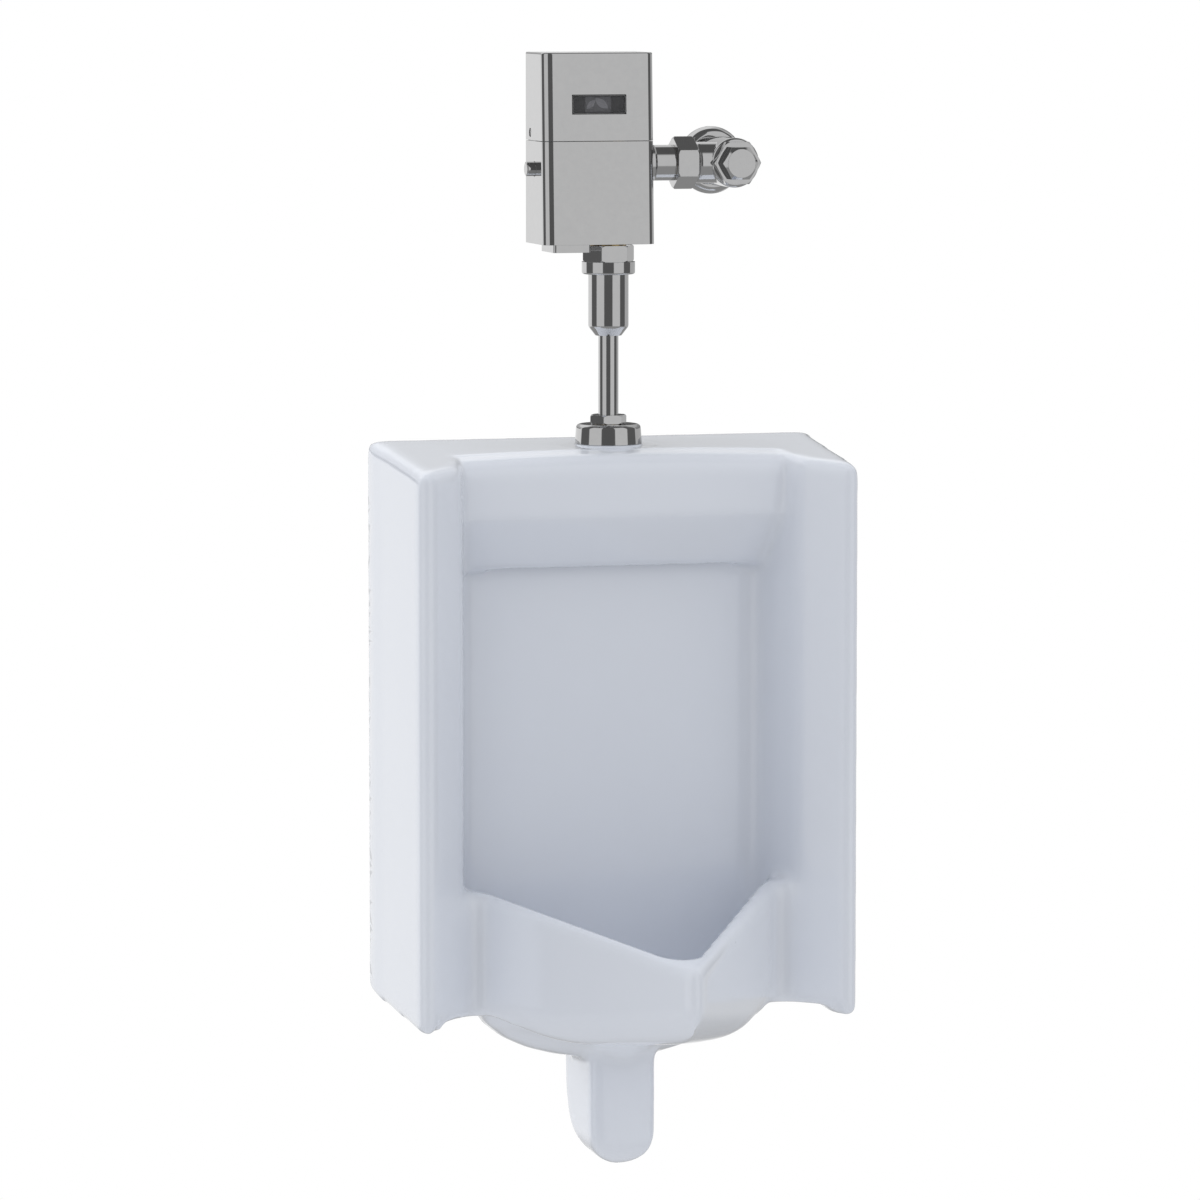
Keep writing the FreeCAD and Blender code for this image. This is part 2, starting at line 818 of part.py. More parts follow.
STOP = axis_out(size.stop_across, INLET_HEIGHT)

# Depths along the control stop.
STOP_SHOULDER = size.stop_back + size.stop_neck_length
STOP_SEAT = size.valve_depth - size.stop_seat_set
STOP_FRONT = size.valve_depth + size.stop_side_radius + size.stop_front_rim
STOP_DISC_BACK = STOP_SEAT + size.stop_lift
PLUNGER_BACK = STOP_DISC_BACK + size.stop_washer_thickness
SPINDLE_BACK = PLUNGER_BACK + size.plunger_floor
SPINDLE_FRONT = SPINDLE_BACK + size.spindle_length


def vee(name, height, width, shoulder, reach, back, rounding):
    """One level section of the bowl or hull: square at the back, pointed at the front."""
    corners = mirrored([
        (0, reach, rounding),
        (width / 2, shoulder, rounding),
        (width / 2, back, rounding),
    ])
    return drawing(name, PLAN, height, corners)


def hollow_form(name, shares, top, fall, width, side, reach, back, rounding):
    """A rounded form lofted down through level sections."""
    form = doc.addObject("Part::Loft", name)
    sections = []
    for index, (fall_share, width_share, side_share, reach_share) in enumerate(shares):
        level = "%s_section%d" % (name, index + 1)
        height = top - fall * fall_share
        shoulder = back + side * side_share
        sections.append(
            vee(level, height, width * width_share, shoulder, reach * reach_share, back, rounding))
    form.Sections = sections
    form.Solid = True
    form.Ruled = True
    return form


def wings():
    """Back and side wings: a U in plan with splayed inner walls, cut to the sloped top and base."""
    plan = mirrored([
        (RECESS_HALF, size.recess_depth, size.recess_corner_round),
        (SPLAY_ACROSS, SPLAY_DEPTH, size.splay_round),
        (WING_IN, size.wing_depth, size.wing_inner_round),
        (FRONT_HALF, size.wing_depth, size.wing_outer_round),
        (size.back_width / 2, 0),
    ])
    rough_top = size.top_height + size.overrun
    tall = prism("wing_plan", PLAN, plan, rough_top, rough_top)
    reach = size.wing_depth + size.overrun
    band = [(0, size.base_height), (reach, base_at(reach)), (reach, top_at(reach)), (0, size.top_height)]
    wide = size.back_width + size.overrun
    sharp = common("wings_sharp", tall, prism("wing_band", SIDE, band, wide / 2, wide))

    def on_level(level):
        def picks(edge):
            ends = [vertex.Point for vertex in edge.Vertexes]
            flat = all(abs(point.z - level(-point.y).value) < size.seat_gap.value for point in ends)
            return flat and any(point.y < -size.overrun.value for point in ends)
        return picks

    return softened(
        "wings",
        sharp,
        (size.top_round, on_level(lambda depth: top_at(Length(depth, "")))),
        (size.base_round, on_level(lambda depth: base_at(Length(depth, "")))),
    )


def hood():
    """Sloped hood across the top of the recess, with a crease and an overhanging lower lip."""
    back = size.recess_depth - size.overrun
    profile = [
        (back, HOOD_LIP_HEIGHT),
        (size.hood_lip_depth, HOOD_LIP_HEIGHT, size.hood_lip_round),
        (size.crease_depth, CREASE_HEIGHT, size.hood_crease_round),
        (size.hood_depth, top_at(size.hood_depth), size.hood_edge_round),
        (back, top_at(back)),
    ]
    return prism("hood", SIDE, profile, HOOD_HALF, 2 * HOOD_HALF)


def slanted(edge):
    """True for an edge in front of the wings that crosses the lip's own width."""
    first = edge.Vertexes[0].Point
    last = edge.Vertexes[-1].Point
    ahead = max(first.y, last.y) < -size.recess_depth.value - size.seat_gap.value
    return ahead and min(abs(first.x - last.x), abs(first.y - last.y)) > size.seat_gap.value


def rim_edge(lowest):
    """Picks the outer top edges of the lip."""
    def picks(edge):
        return slanted(edge) and min(vertex.Z for vertex in edge.Vertexes) > lowest - size.seat_gap.value
    return picks


def mouth_edge(nose, slope):
    """Picks the inner top edges of the lip, which lie on the two straight sides of the mouth."""
    def on_side(point):
        return abs(abs(point.x) - (nose.value + point.y) * slope.value) < size.seat_gap.value

    def picks(edge):
        ends = [vertex.Point for vertex in edge.Vertexes]
        high = min(point.z for point in ends) > size.notch_height.value - size.seat_gap.value
        return high and all(on_side(point) for point in ends)
    return picks


def basin():
    """The projecting lip and bowl: a V in plan, cut to the rim line and the dipping lower edge."""
    end_across = LIP_ROOT + (WING_IN - LIP_ROOT) * LIP_END_SHARE
    end_depth = LIP_ROOT_DEPTH + (size.wing_depth - LIP_ROOT_DEPTH) * LIP_END_SHARE
    plan = mirrored([
        (0, PROW_DEPTH, size.prow_round),
        (LIP_ROOT, LIP_ROOT_DEPTH, size.cove_round),
        (end_across, end_depth),
        (LIP_BACK_HALF, SPLAY_DEPTH),
        (LIP_BACK_HALF, size.lip_back_depth),
    ])
    rough_top = size.rim_root_height + size.overrun
    tall = prism("lip_plan", PLAN, plan, rough_top, rough_top)
    back = size.lip_back_depth - size.overrun
    tip = PROW_DEPTH + size.overrun
    profile = [
        (back, base_at(back)),
        (LIP_ROOT_DEPTH, base_at(LIP_ROOT_DEPTH)),
        (size.wing_depth * DEPTH_SHARES["dip"], size.dip_height, size.dip_round),
        (tip, size.tip_base_height),
        (tip, size.notch_height),
        (PROW_DEPTH - size.notch_length, size.notch_height, size.notch_round),
        (LIP_ROOT_DEPTH, size.rim_root_height),
        (back, size.rim_root_height),
    ]
    wide = 2 * LIP_BACK_HALF + size.overrun
    sharp = common("lip_sharp", tall, prism("lip_side", SIDE, profile, wide / 2, wide))
    slope = LIP_ROOT / (PROW_DEPTH - LIP_ROOT_DEPTH)
    nose = PROW_DEPTH - size.lip_wall * root(slope * slope + 1) / slope
    rim_round = size.lip_wall * RIM_ROUND_SHARE
    inside = mirrored([
        (0, nose, size.nose_inner_round),
        ((nose - back) * slope, back),
    ])
    rough = rough_top + size.overrun
    mouth = prism("lip_mouth", PLAN, inside, rough, rough - size.bowl_top_height)
    outside = softened("lip_outside", sharp, (rim_round, rim_edge(size.notch_height.value)))
    lip = softened("lip", cut("lip_open", outside, mouth), (rim_round, mouth_edge(nose, slope)))
    hull = hollow_form(
        "hull", HULL_SHARES, size.hull_top_height, size.hull_top_height + size.hull_bottom_drop,
        size.back_width * WIDTH_SHARES["hull"], size.hull_side, PROW_DEPTH * HULL_REACH_SHARE,
        size.hull_back_depth, size.hull_side * HULL_ROUND_SHARE)
    return fuse("basin", lip, hull)


def bowl():
    """The hollow of the bowl, from under the mouth down to the strainer."""
    return hollow_form(
        "bowl", BOWL_SHARES, size.bowl_top_height + size.seat_gap,
        size.bowl_top_height + size.seat_gap + size.bowl_floor_drop,
        size.back_width * WIDTH_SHARES["bowl"], size.bowl_side, PROW_DEPTH * BOWL_REACH_SHARE,
        size.bowl_back_depth, size.bowl_side * BOWL_ROUND_SHARE)


def horn():
    """Integral trap: a slab with a round toe, curved at the back up to the outlet."""
    half = size.horn_width / 2
    high = size.base_height
    round_toe = half - size.seat_gap
    front = [(half, high), (-half, high), (-half, -size.horn_bottom_drop, round_toe)]
    front += [(half, -size.horn_bottom_drop, round_toe)]
    reach = size.horn_depth - size.outlet_setback
    slab = prism("horn_front", FRONT, front, size.outlet_setback, reach)
    side = [
        (size.outlet_setback, high),
        (size.outlet_setback, -size.horn_bottom_drop, size.horn_heel_round),
        (size.horn_depth, -size.horn_bottom_drop, size.horn_toe_round),
        (size.horn_depth, high),
    ]
    wide = size.horn_width + size.overrun
    return common("horn", slab, prism("horn_side", SIDE, side, wide / 2, wide))


def waste_passage():
    """The water path: down the drain, round the trap and up to the outlet."""
    low = size.passage_radius + size.horn_wall - size.horn_bottom_drop
    route = [
        (DRAIN_DEPTH, FLOOR + size.overrun),
        (DRAIN_DEPTH, low, size.passage_bend),
        (size.trap_rise_depth, low, size.passage_bend),
        (size.outlet_bend_depth, 0, size.passage_bend),
        (-size.overrun, 0),
    ]
    path = drawing("passage_route", SIDE, 0, route, closed=False)
    section = doc.addObject("Sketcher::SketchObject", "passage_section")
    circle(section, 0, DRAIN_DEPTH, size.passage_radius)
    place(section, PLAN, 0, 0, FLOOR + size.overrun)
    sweep = doc.addObject("Part::Sweep", "passage")
    sweep.Sections = [section]
    sweep.Spine = (path, ["Edge%d" % number for number in range(1, len(route) * 2 - 2)])
    sweep.Solid = True
    return sweep


def ear_plate(name, start, length):
    """The oval plate that the two outlet bolts pass through."""
    across = size.ear_span / 2 + size.ear_radius
    tall = size.ear_radius
    rounding = size.ear_radius - size.seat_gap
    corners = [(across, -tall, rounding), (across, tall, rounding)]
    corners += [(-across, tall, rounding), (-across, -tall, rounding)]
    return prism(name, FRONT, corners, start, length)


def back_hollow():
    """The hollow behind the recess, with a pocket up each wing."""
    plan = mirrored([
        (RECESS_HALF + size.hollow_wing_wall, size.hollow_depth),
        (SPLAY_ACROSS + size.hollow_wing_wall, HOLLOW_WING_DEPTH),
        (side_at(HOLLOW_WING_DEPTH) - size.china_wall, HOLLOW_WING_DEPTH),
        (side_at(-size.overrun) - size.china_wall, -size.overrun),
    ])
    return prism("back_hollow", PLAN, plan, HOLLOW_HIGH, HOLLOW_HIGH - size.hollow_low)


def flush_chamber():
    """Water space in the hood, which narrows to a slot under the hood's lip."""
    slot_out = size.hood_lip_depth - size.slot_inset
    slot_in = slot_out - size.slot_width
    mouth = HOOD_LIP_HEIGHT - size.overrun
    waist = HOOD_LIP_HEIGHT + size.chamber_wall
    profile = [
        (CHAMBER_BACK, CHAMBER_TOP),
        (CHAMBER_FRONT, CHAMBER_TOP),
        (size.crease_depth - size.chamber_wall, CREASE_HEIGHT),
        (slot_out, waist),
        (slot_out, mouth),
        (slot_in, mouth),
        (slot_in, waist),
        (CHAMBER_BACK, CHAMBER_WAIST),
    ]
    return prism("flush_chamber", SIDE, profile, CHAMBER_HALF, 2 * CHAMBER_HALF)


def hanger_pocket(side, across):
    """Pocket for one wall hanger, undercut so that the china hooks over it."""
    left = across - size.pocket_width / 2
    right = across + size.pocket_width / 2
    low = HANGER_LOW - size.pocket_room
    high = HANGER_TOP + size.hanger_hook_height + size.pocket_room
    mouth = block("pocket_mouth_" + side, left, right, -size.overrun, size.pocket_depth, low, HANGER_TOP)
    hook = block("pocket_hook_" + side, left, right, size.pocket_lip, size.pocket_depth, low, high)
    return fuse("pocket_" + side, mouth, hook)


def urinal_body():
    """The glazed china in one piece."""
    boss_low = CHAMBER_TOP
    boss = turned("spud_boss", [
        (0, boss_low),
        (size.spud_boss_radius, boss_low),
        (size.spud_boss_radius, SPUD_SEAT, size.spud_boss_round),
        (0, SPUD_SEAT),
    ], VALVE)
    outlet_boss = rod(
        "outlet_boss", size.outlet_boss_radius, size.outlet_setback, size.outlet_boss_length, OUTLET)
    ears = ear_plate("china_ears", size.outlet_setback, size.ear_thickness)
    solid = fuse("china_solid", wings(), hood(), basin(), horn(), boss, outlet_boss, ears)
    spud_hole = rod(
        "spud_hole", size.spud_hole_radius, CHAMBER_TOP - size.overrun,
        SPUD_SEAT - CHAMBER_TOP + 2 * size.overrun, VALVE)
    strainer_seat = rod(
        "strainer_seat", size.strainer_radius + size.running_gap, FLOOR - size.strainer_recess,
        size.strainer_recess + size.overrun, DRAIN)
    bolt_holes = []
    for number, axis in enumerate(EARS, start=1):
        bolt_holes.append(rod("ear_hole%d" % number, size.ear_hole_radius, size.outlet_setback - size.overrun,
                              size.ear_thickness + 2 * size.overrun, axis))
    pockets = [hanger_pocket(side, across) for side, across in HANGERS]
    tools = [bowl(), back_hollow(), flush_chamber(), spud_hole, waste_passage(), strainer_seat]
    tools += bolt_holes + pockets
    return node("urinal_body", cut("china", solid, *tools))


def body_sketch(body, name, role="XY_Plane"):
    """An empty sketch on one of a body's own origin planes."""
    sketch = body.newObject("Sketcher::SketchObject", name)
    plane = next(item for item in body.Origin.OriginFeatures if item.Role == role)
    sketch.AttachmentSupport = [(plane, "")]
    sketch.MapMode = "FlatFace"
    return sketch


def polar(body, name, feature, sketch, count):
    """Repeats a feature evenly round the body's axis."""
    pattern = body.newObject("PartDesign::PolarPattern", name)
    pattern.Originals = [feature]
    pattern.Axis = (sketch, ["N_Axis"])
    pattern.Angle = FULL_TURN
    pattern.Occurrences = count
    body.Tip = pattern
    return pattern


def drain_strainer():
    """Perforated disc in the bowl floor, with three legs that spring into the drain."""
    body = doc.addObject("PartDesign::Body", "strainer")
    disc = body_sketch(body, "strainer_disc")
    circle(disc, 0, 0, size.strainer_radius)
    plate = body.newObject("PartDesign::Pad", "strainer_plate")
    plate.Profile = disc
    bind(plate, "Length", size.strainer_thickness)
    rings = (
        ("inner", size.strainer_inner_ring, INNER_HOLES),
        ("outer", size.strainer_outer_ring, OUTER_HOLES),
    )
    for name, radius, count in rings:
        hole = body_sketch(body, "strainer_%s_hole" % name)
        circle(hole, radius, 0, size.strainer_hole_radius)
        pocket = body.newObject("PartDesign::Pocket", "strainer_%s_pocket" % name)
        pocket.Profile = hole
        pocket.Type = "ThroughAll"
        pocket.Reversed = True
        body.Tip = pocket
        doc.recompute()
        polar(body, "strainer_%s_ring" % name, pocket, hole, count)
        doc.recompute()
    outside = size.passage_radius - 2 * size.running_gap
    inside = outside - size.strainer_leg_thickness
    half = size.strainer_leg_width / 2
    foot = body_sketch(body, "strainer_leg_section")
    outline(foot, [(inside, -half), (outside, -half), (outside, half), (inside, half)])
    leg = body.newObject("PartDesign::Pad", "strainer_leg")
    leg.Profile = foot
    leg.Reversed = True
    bind(leg, "Length", size.strainer_leg_length)
    body.Tip = leg
    doc.recompute()
    polar(body, "strainer_legs", leg, foot, STRAINER_LEGS)
    place(body, UP, 0, -DRAIN_DEPTH, FLOOR - size.strainer_recess)
    return node("drain_strainer", body)


def wall_hanger(side, across):
    """Bent steel hanger: a plate on the wall with a hook that the china drops over."""
    thick = size.hanger_thickness
    low = HANGER_LOW
    reach = size.hanger_reach
    hook_top = HANGER_TOP + size.hanger_hook_height
    profile = [
        (0, low),
        (0, HANGER_TOP),
        (reach, HANGER_TOP),
        (reach, hook_top),
        (reach + thick, hook_top),
        (reach + thick, HANGER_TOP - thick),
        (thick, HANGER_TOP - thick),
        (thick, low),
    ]
    start = across + size.hanger_width / 2
    plate = prism("hanger_%s_plate" % side, SIDE, profile, start, size.hanger_width)
    holes = []
    for number in range(2):
        height = low + size.hanger_hole_low + size.hanger_hole_pitch * number
        holes.append(rod("hanger_%s_hole%d" % (side, number + 1), size.hanger_hole_radius, -size.overrun,
                         thick + 2 * size.overrun, axis_out(across, height)))
    return node("wall_hanger_" + side, cut("hanger_" + side, plate, *holes))


def outlet_fittings():
    """Gasket, threaded flange and the closet bolts that clamp the china to the flange."""
    node("outlet_gasket", ring(
        "outlet_seal", size.passage_radius + size.seat_gap, size.outlet_boss_radius, GASKET_BACK,
        size.outlet_gasket_thickness, OUTLET))
    hub = rod("flange_hub", size.outlet_boss_radius, 0, GASKET_BACK, OUTLET)
    plate = ear_plate("flange_plate", FLANGE_BACK, size.outlet_flange_plate)
    bore = turned("flange_bore", bore_profile(
        (size.outlet_thread_radius, -size.overrun, size.outlet_thread_length),
        (size.passage_radius + size.seat_gap, size.outlet_thread_length, GASKET_BACK + size.overrun)), OUTLET)
    bolt_start = FLANGE_BACK
    holes = []
    bolts = []
    washers = []
    nuts = []
    ear_front = size.outlet_setback + size.ear_thickness
    nut_back = ear_front + size.bolt_washer_thickness
    bolt_end = nut_back + size.bolt_nut_height + size.bolt_tail
    for number, axis in enumerate(EARS, start=1):
        holes.append(rod("flange_hole%d" % number, size.ear_hole_radius, FLANGE_BACK - size.overrun,
                         size.outlet_flange_plate + 2 * size.overrun, axis))
        head = rod("bolt_head%d" % number, size.bolt_head_radius, bolt_start - size.bolt_head_height,
                   size.bolt_head_height, axis)
        shank = rod("bolt_shank%d" % number, size.bolt_radius, bolt_start - size.bolt_head_height,
                    bolt_end - bolt_start + size.bolt_head_height, axis)
        bolts.append(fuse("bolt%d" % number, head, shank))
        bore_radius = size.bolt_radius + size.fit_gap
        washers.append(ring("bolt_washer%d" % number, bore_radius, size.bolt_washer_radius, ear_front,
                            size.bolt_washer_thickness, axis))
        nut_bore = bore_profile((bore_radius, nut_back - size.overrun, bolt_end + size.overrun))
        nuts.append(hex_nut("bolt_nut%d" % number, size.bolt_nut_corners, nut_back, size.bolt_nut_height,
                            axis, nut_bore))
    node("outlet_flange", cut("flange", fuse("flange_solid", hub, plate), bore, *holes))
    node("outlet_bolts", group("bolt_pair", bolts))
    node("outlet_washers", group("washer_pair", washers))
    node("outlet_nuts", group("nut_pair", nuts))


def group(name, solids):
    """Identical loose pieces that share one node."""
    joined = doc.addObject("Part::Compound", name)
    joined.Links = solids
    return joined


def spud_fittings():
    """Spud, gasket, lock nut, escutcheon and the slip joint that holds the flush tube."""
    seat = SPUD_SEAT
    under = CHAMBER_TOP
    flange_high = under - size.spud_gasket_thickness
    flange_low = flange_high - size.spud_flange_thickness
    bore = size.tube_radius + size.running_gap
    neck_start = seat + size.spud_neck_start
    node("spud", turned("spud_sleeve", [
        (bore, flange_low),
        (size.spud_flange_radius, flange_low),
        (size.spud_flange_radius, flange_high),
        (size.spud_radius, flange_high),
        (size.spud_radius, neck_start),
        (size.spud_neck_radius, neck_start),
        (size.spud_neck_radius, SPUD_TOP),
        (bore, SPUD_TOP),
    ], VALVE))
    node("spud_gasket", ring(
        "spud_seal", size.spud_radius + size.fit_gap, size.spud_gasket_radius, flange_high,
        size.spud_gasket_thickness, VALVE))
    nut_bore = bore_profile((size.spud_radius + size.fit_gap, seat - size.overrun, ESCUTCHEON_TOP))
    node("spud_lock_nut", hex_nut(
        "lock_nut", size.lock_nut_corners, seat, size.lock_nut_height, VALVE, nut_bore))
    wall = size.escutcheon_wall
    neck_hole = size.spud_neck_radius + size.running_gap
    node("spud_escutcheon", turned("spud_cup", [
        (size.escutcheon_radius - wall, seat),
        (size.escutcheon_radius, seat),
        (size.escutcheon_top_radius, ESCUTCHEON_TOP, size.escutcheon_round),
        (neck_hole, ESCUTCHEON_TOP),
        (neck_hole, ESCUTCHEON_TOP - wall),
        (size.escutcheon_top_radius - wall, ESCUTCHEON_TOP - wall, size.escutcheon_round - wall),
    ], VALVE))
    nut_low = ESCUTCHEON_TOP + size.seat_gap
    lip = SLIP_NUT_TOP - size.slip_nut_lip
    tube_hole = size.tube_radius + size.fit_gap
    slip_bore = bore_profile(
        (size.spud_neck_radius + size.fit_gap, nut_low - size.overrun, lip),
        (tube_hole, lip, SLIP_NUT_TOP + size.overrun))
    node("slip_nut", hex_nut(
        "slip", size.slip_nut_corners, nut_low, size.slip_nut_height, VALVE, slip_bore))
    node("slip_gasket", ring(
        "slip_seal", tube_hole, size.spud_neck_radius, SPUD_TOP, size.slip_gasket_thickness, VALVE))
    low = seat - size.tube_insert
    node("flush_tube", ring("tube", size.tube_radius - size.tube_wall, size.tube_radius, low,
                            BREAKER_LOW + size.breaker_shoulder - low, VALVE))


def vacuum_breaker():
    """Breaker tube with its rubber insert, hung from the valve by a collar and a hexagon adapter."""
    hub_bore = size.tube_radius + size.fit_gap
    shoulder = BREAKER_LOW + size.breaker_shoulder
    inside = size.breaker_radius - size.breaker_wall
    node("vacuum_breaker_tube", turned("breaker", [
        (hub_bore, BREAKER_LOW),
        (size.breaker_neck_radius, BREAKER_LOW),
        (size.breaker_radius, shoulder, size.breaker_shoulder_round),
        (size.breaker_radius, COLLAR_SEAT),
        (size.breaker_flange_radius, COLLAR_SEAT),
        (size.breaker_flange_radius, INSERT_LOW),
        (inside, INSERT_LOW),
        (inside, BREAKER_LOW + size.breaker_hub),
        (hub_bore, BREAKER_LOW + size.breaker_hub),
    ], VALVE))
    node("vacuum_breaker_insert", turned("insert", [
        (size.insert_bore_radius, INSERT_LOW - size.insert_sleeve_length),
        (size.insert_sleeve_radius, INSERT_LOW - size.insert_sleeve_length),
        (size.insert_sleeve_radius, INSERT_LOW),
        (size.breaker_flange_radius, INSERT_LOW),
        (size.breaker_flange_radius, ADAPTER_LOW),
        (size.insert_bore_radius, ADAPTER_LOW),
    ], VALVE))
    thread = size.breaker_flange_radius + size.fit_gap
    lip_bore = size.breaker_radius + size.fit_gap
    node("vacuum_breaker_collar", turned("collar", [
        (lip_bore, COLLAR_LOW),
        (size.collar_radius, COLLAR_LOW, size.collar_round),
        (size.collar_radius, HEX_LOW),
        (thread + size.fit_gap, HEX_LOW),
        (thread + size.fit_gap, COLLAR_SEAT),
        (lip_bore, COLLAR_SEAT),
    ], VALVE))
    sleeve = rod("adapter_sleeve", size.breaker_flange_radius, ADAPTER_LOW, HEX_LOW - ADAPTER_LOW, VALVE)
    spigot_low = ADAPTER_LOW + size.adapter_seat
    bore = bore_profile(
        (size.spigot_bore_radius, ADAPTER_LOW - size.overrun, spigot_low),
        (size.spigot_radius + size.fit_gap, spigot_low, HEX_HIGH + size.overrun))
    nut = hex_nut("adapter", size.adapter_corners, HEX_LOW, size.adapter_height, VALVE, bore)
    solid = cut("adapter_bored_sleeve", sleeve, turned("adapter_sleeve_bore", bore, VALVE))
    node("outlet_adapter", fuse("adapter_joined", nut, solid))


def valve_body():
    """Brass casting: piston barrel, outlet spigot, inlet neck and two pilot bosses."""
    spigot_low = ADAPTER_LOW + size.adapter_seat
    barrel = turned("barrel", [
        (0, spigot_low),
        (size.spigot_radius, spigot_low),
        (size.spigot_radius, BARREL_LOW),
        (size.barrel_radius, BARREL_LOW),
        (size.barrel_radius, BARREL_HIGH),
        (0, BARREL_HIGH),
    ], VALVE)
    neck = rod("inlet_neck", size.neck_radius, 0, size.neck_end, INLET)
    solenoid_boss = rod(
        "solenoid_boss", size.pilot_boss_radius, -size.solenoid_boss_end, size.solenoid_boss_end, SOLENOID)
    button_boss = rod(
        "button_boss", size.pilot_boss_radius, -size.button_boss_end, size.button_boss_end, BUTTON)
    solid = fuse("valve_solid", barrel, neck, solenoid_boss, button_boss)
    chamber = turned("valve_chamber", bore_profile(
        (size.spigot_bore_radius, spigot_low - size.overrun, SEAT),
        (size.chamber_radius, SEAT, CHAMBER_HIGH),
        (size.cap_thread_radius, CHAMBER_HIGH, BARREL_HIGH + size.overrun)), VALVE)
    neck_bore = rod("neck_bore", size.neck_bore_radius, 0, size.neck_end + size.overrun, INLET)
    pilot = rod("solenoid_pilot", size.pilot_bore_radius, -size.solenoid_boss_end - size.overrun,
                size.solenoid_boss_end + size.overrun, SOLENOID)
    guide_end = size.button_guide_depth - size.button_boss_end
    guide = turned("button_guide", bore_profile(
        (size.button_stem_radius + size.fit_gap, -size.button_boss_end - size.overrun, guide_end),
        (size.pilot_bore_radius, guide_end, 0)), BUTTON)
    node("valve_body", cut("valve", solid, chamber, neck_bore, pilot, guide))


def coil_spring(name, radius, wire, turns, start, length, axis):
    """A helical spring: a square wire swept along a helix between two seats."""
    rise = length - wire
    helix = doc.addObject("Part::Helix", name + "_path")
    helix.LocalCoord = 0
    bind(helix, "Radius", radius)
    bind(helix, "Height", rise)
    bind(helix, "Pitch", rise / turns)
    place(helix, axis[0], *along(axis, start + wire / 2))
    section = doc.addObject("Sketcher::SketchObject", name + "_wire")
    half = wire / 2
    outline(section, [
        (radius - half, -half),
        (radius + half, -half),
        (radius + half, half),
        (radius - half, half),
    ])
    place(section, axis[0].multiply(OUT), *along(axis, start + half))
    sweep = doc.addObject("Part::Sweep", name)
    sweep.Sections = [section]
    doc.recompute()
    edges = ["Edge%d" % number for number in range(1, len(helix.Shape.Edges) + 1)]
    sweep.Spine = (helix, edges)
    sweep.Solid = True
    sweep.Frenet = True
    return sweep


def piston_works():
    """Piston with its seal and seat washer, the cap over it and the spring between them."""
    washer_low = SEAT + size.running_gap
    base_low = washer_low + size.washer_thickness
    base_high = base_low + size.piston_base_height
    head_low = INLET_HEIGHT + size.piston_head_rise
    head_high = head_low + size.piston_head_height
    groove_low = head_low + (size.piston_head_height - size.seal_height) / 2
    groove_high = groove_low + size.seal_height
    pocket_low = head_high - size.piston_pocket_depth
    node("flush_piston", turned("piston", [
        (0, base_low - size.piston_guide_length),
        (size.piston_guide_radius, base_low - size.piston_guide_length),
        (size.piston_guide_radius, base_low),
        (size.washer_radius, base_low),
        (size.washer_radius, base_high),
        (size.piston_stem_radius, base_high),
        (size.piston_stem_radius, head_low),
        (size.piston_head_radius, head_low),
        (size.piston_head_radius, groove_low),
        (size.seal_bore_radius, groove_low),
        (size.seal_bore_radius, groove_high),
        (size.piston_head_radius, groove_high),
        (size.piston_head_radius, head_high),
        (size.piston_pocket_radius, head_high),
        (size.piston_pocket_radius, pocket_low),
        (0, pocket_low),
    ], VALVE))
    node("piston_seal", ring("piston_ring", size.seal_bore_radius + size.fit_gap, size.seal_outer_radius,
                             groove_low, size.seal_height, VALVE))
    node("piston_washer", ring("seat_disc", size.washer_bore_radius, size.washer_radius, washer_low,
                               size.washer_thickness, VALVE))
    cap_low = CHAMBER_HIGH + size.fit_gap
    node("piston_cap", turned("cap", [
        (0, cap_low - size.cap_pin_length),
        (size.cap_pin_radius, cap_low - size.cap_pin_length),
        (size.cap_pin_radius, cap_low),
        (size.cap_thread_radius - size.fit_gap, cap_low),
        (size.cap_thread_radius - size.fit_gap, BARREL_HIGH),
        (size.cap_flange_radius, BARREL_HIGH),
        (size.cap_flange_radius, BARREL_HIGH + size.cap_flange_height),
        (0, BARREL_HIGH + size.cap_flange_height),
    ], VALVE))
    spring_low = pocket_low + size.spring_end_gap
    node("piston_spring", coil_spring(
        "piston_coil", size.piston_spring_radius, size.piston_spring_wire, SPRING_TURNS["piston"], spring_low,
        cap_low - size.spring_end_gap - spring_low, VALVE))


def solenoid():
    """Pilot solenoid on the valve body: coil housing, sliding armature and its spring."""
    face = -size.solenoid_boss_end
    back = face - size.coil_length
    bore = size.armature_radius + size.fit_gap
    node("solenoid_coil", turned("coil", [
        (0, back),
        (size.coil_radius, back),
        (size.coil_radius, face),
        (bore, face),
        (bore, back + size.coil_end_wall),
        (0, back + size.coil_end_wall),
    ], SOLENOID))
    tip = face - size.running_gap
    heel = tip - size.armature_length
    node("solenoid_armature", turned("armature", [
        (0, heel),
        (size.armature_radius, heel),
        (size.armature_radius, tip - size.armature_pin_radius),
        (size.armature_pin_radius, tip),
        (0, tip),
    ], SOLENOID))
    start = back + size.coil_end_wall + size.spring_end_gap
    node("solenoid_spring", coil_spring(
        "solenoid_coil_spring", size.solenoid_spring_radius, size.solenoid_spring_wire,
        SPRING_TURNS["solenoid"], start, heel - size.spring_end_gap - start, SOLENOID))


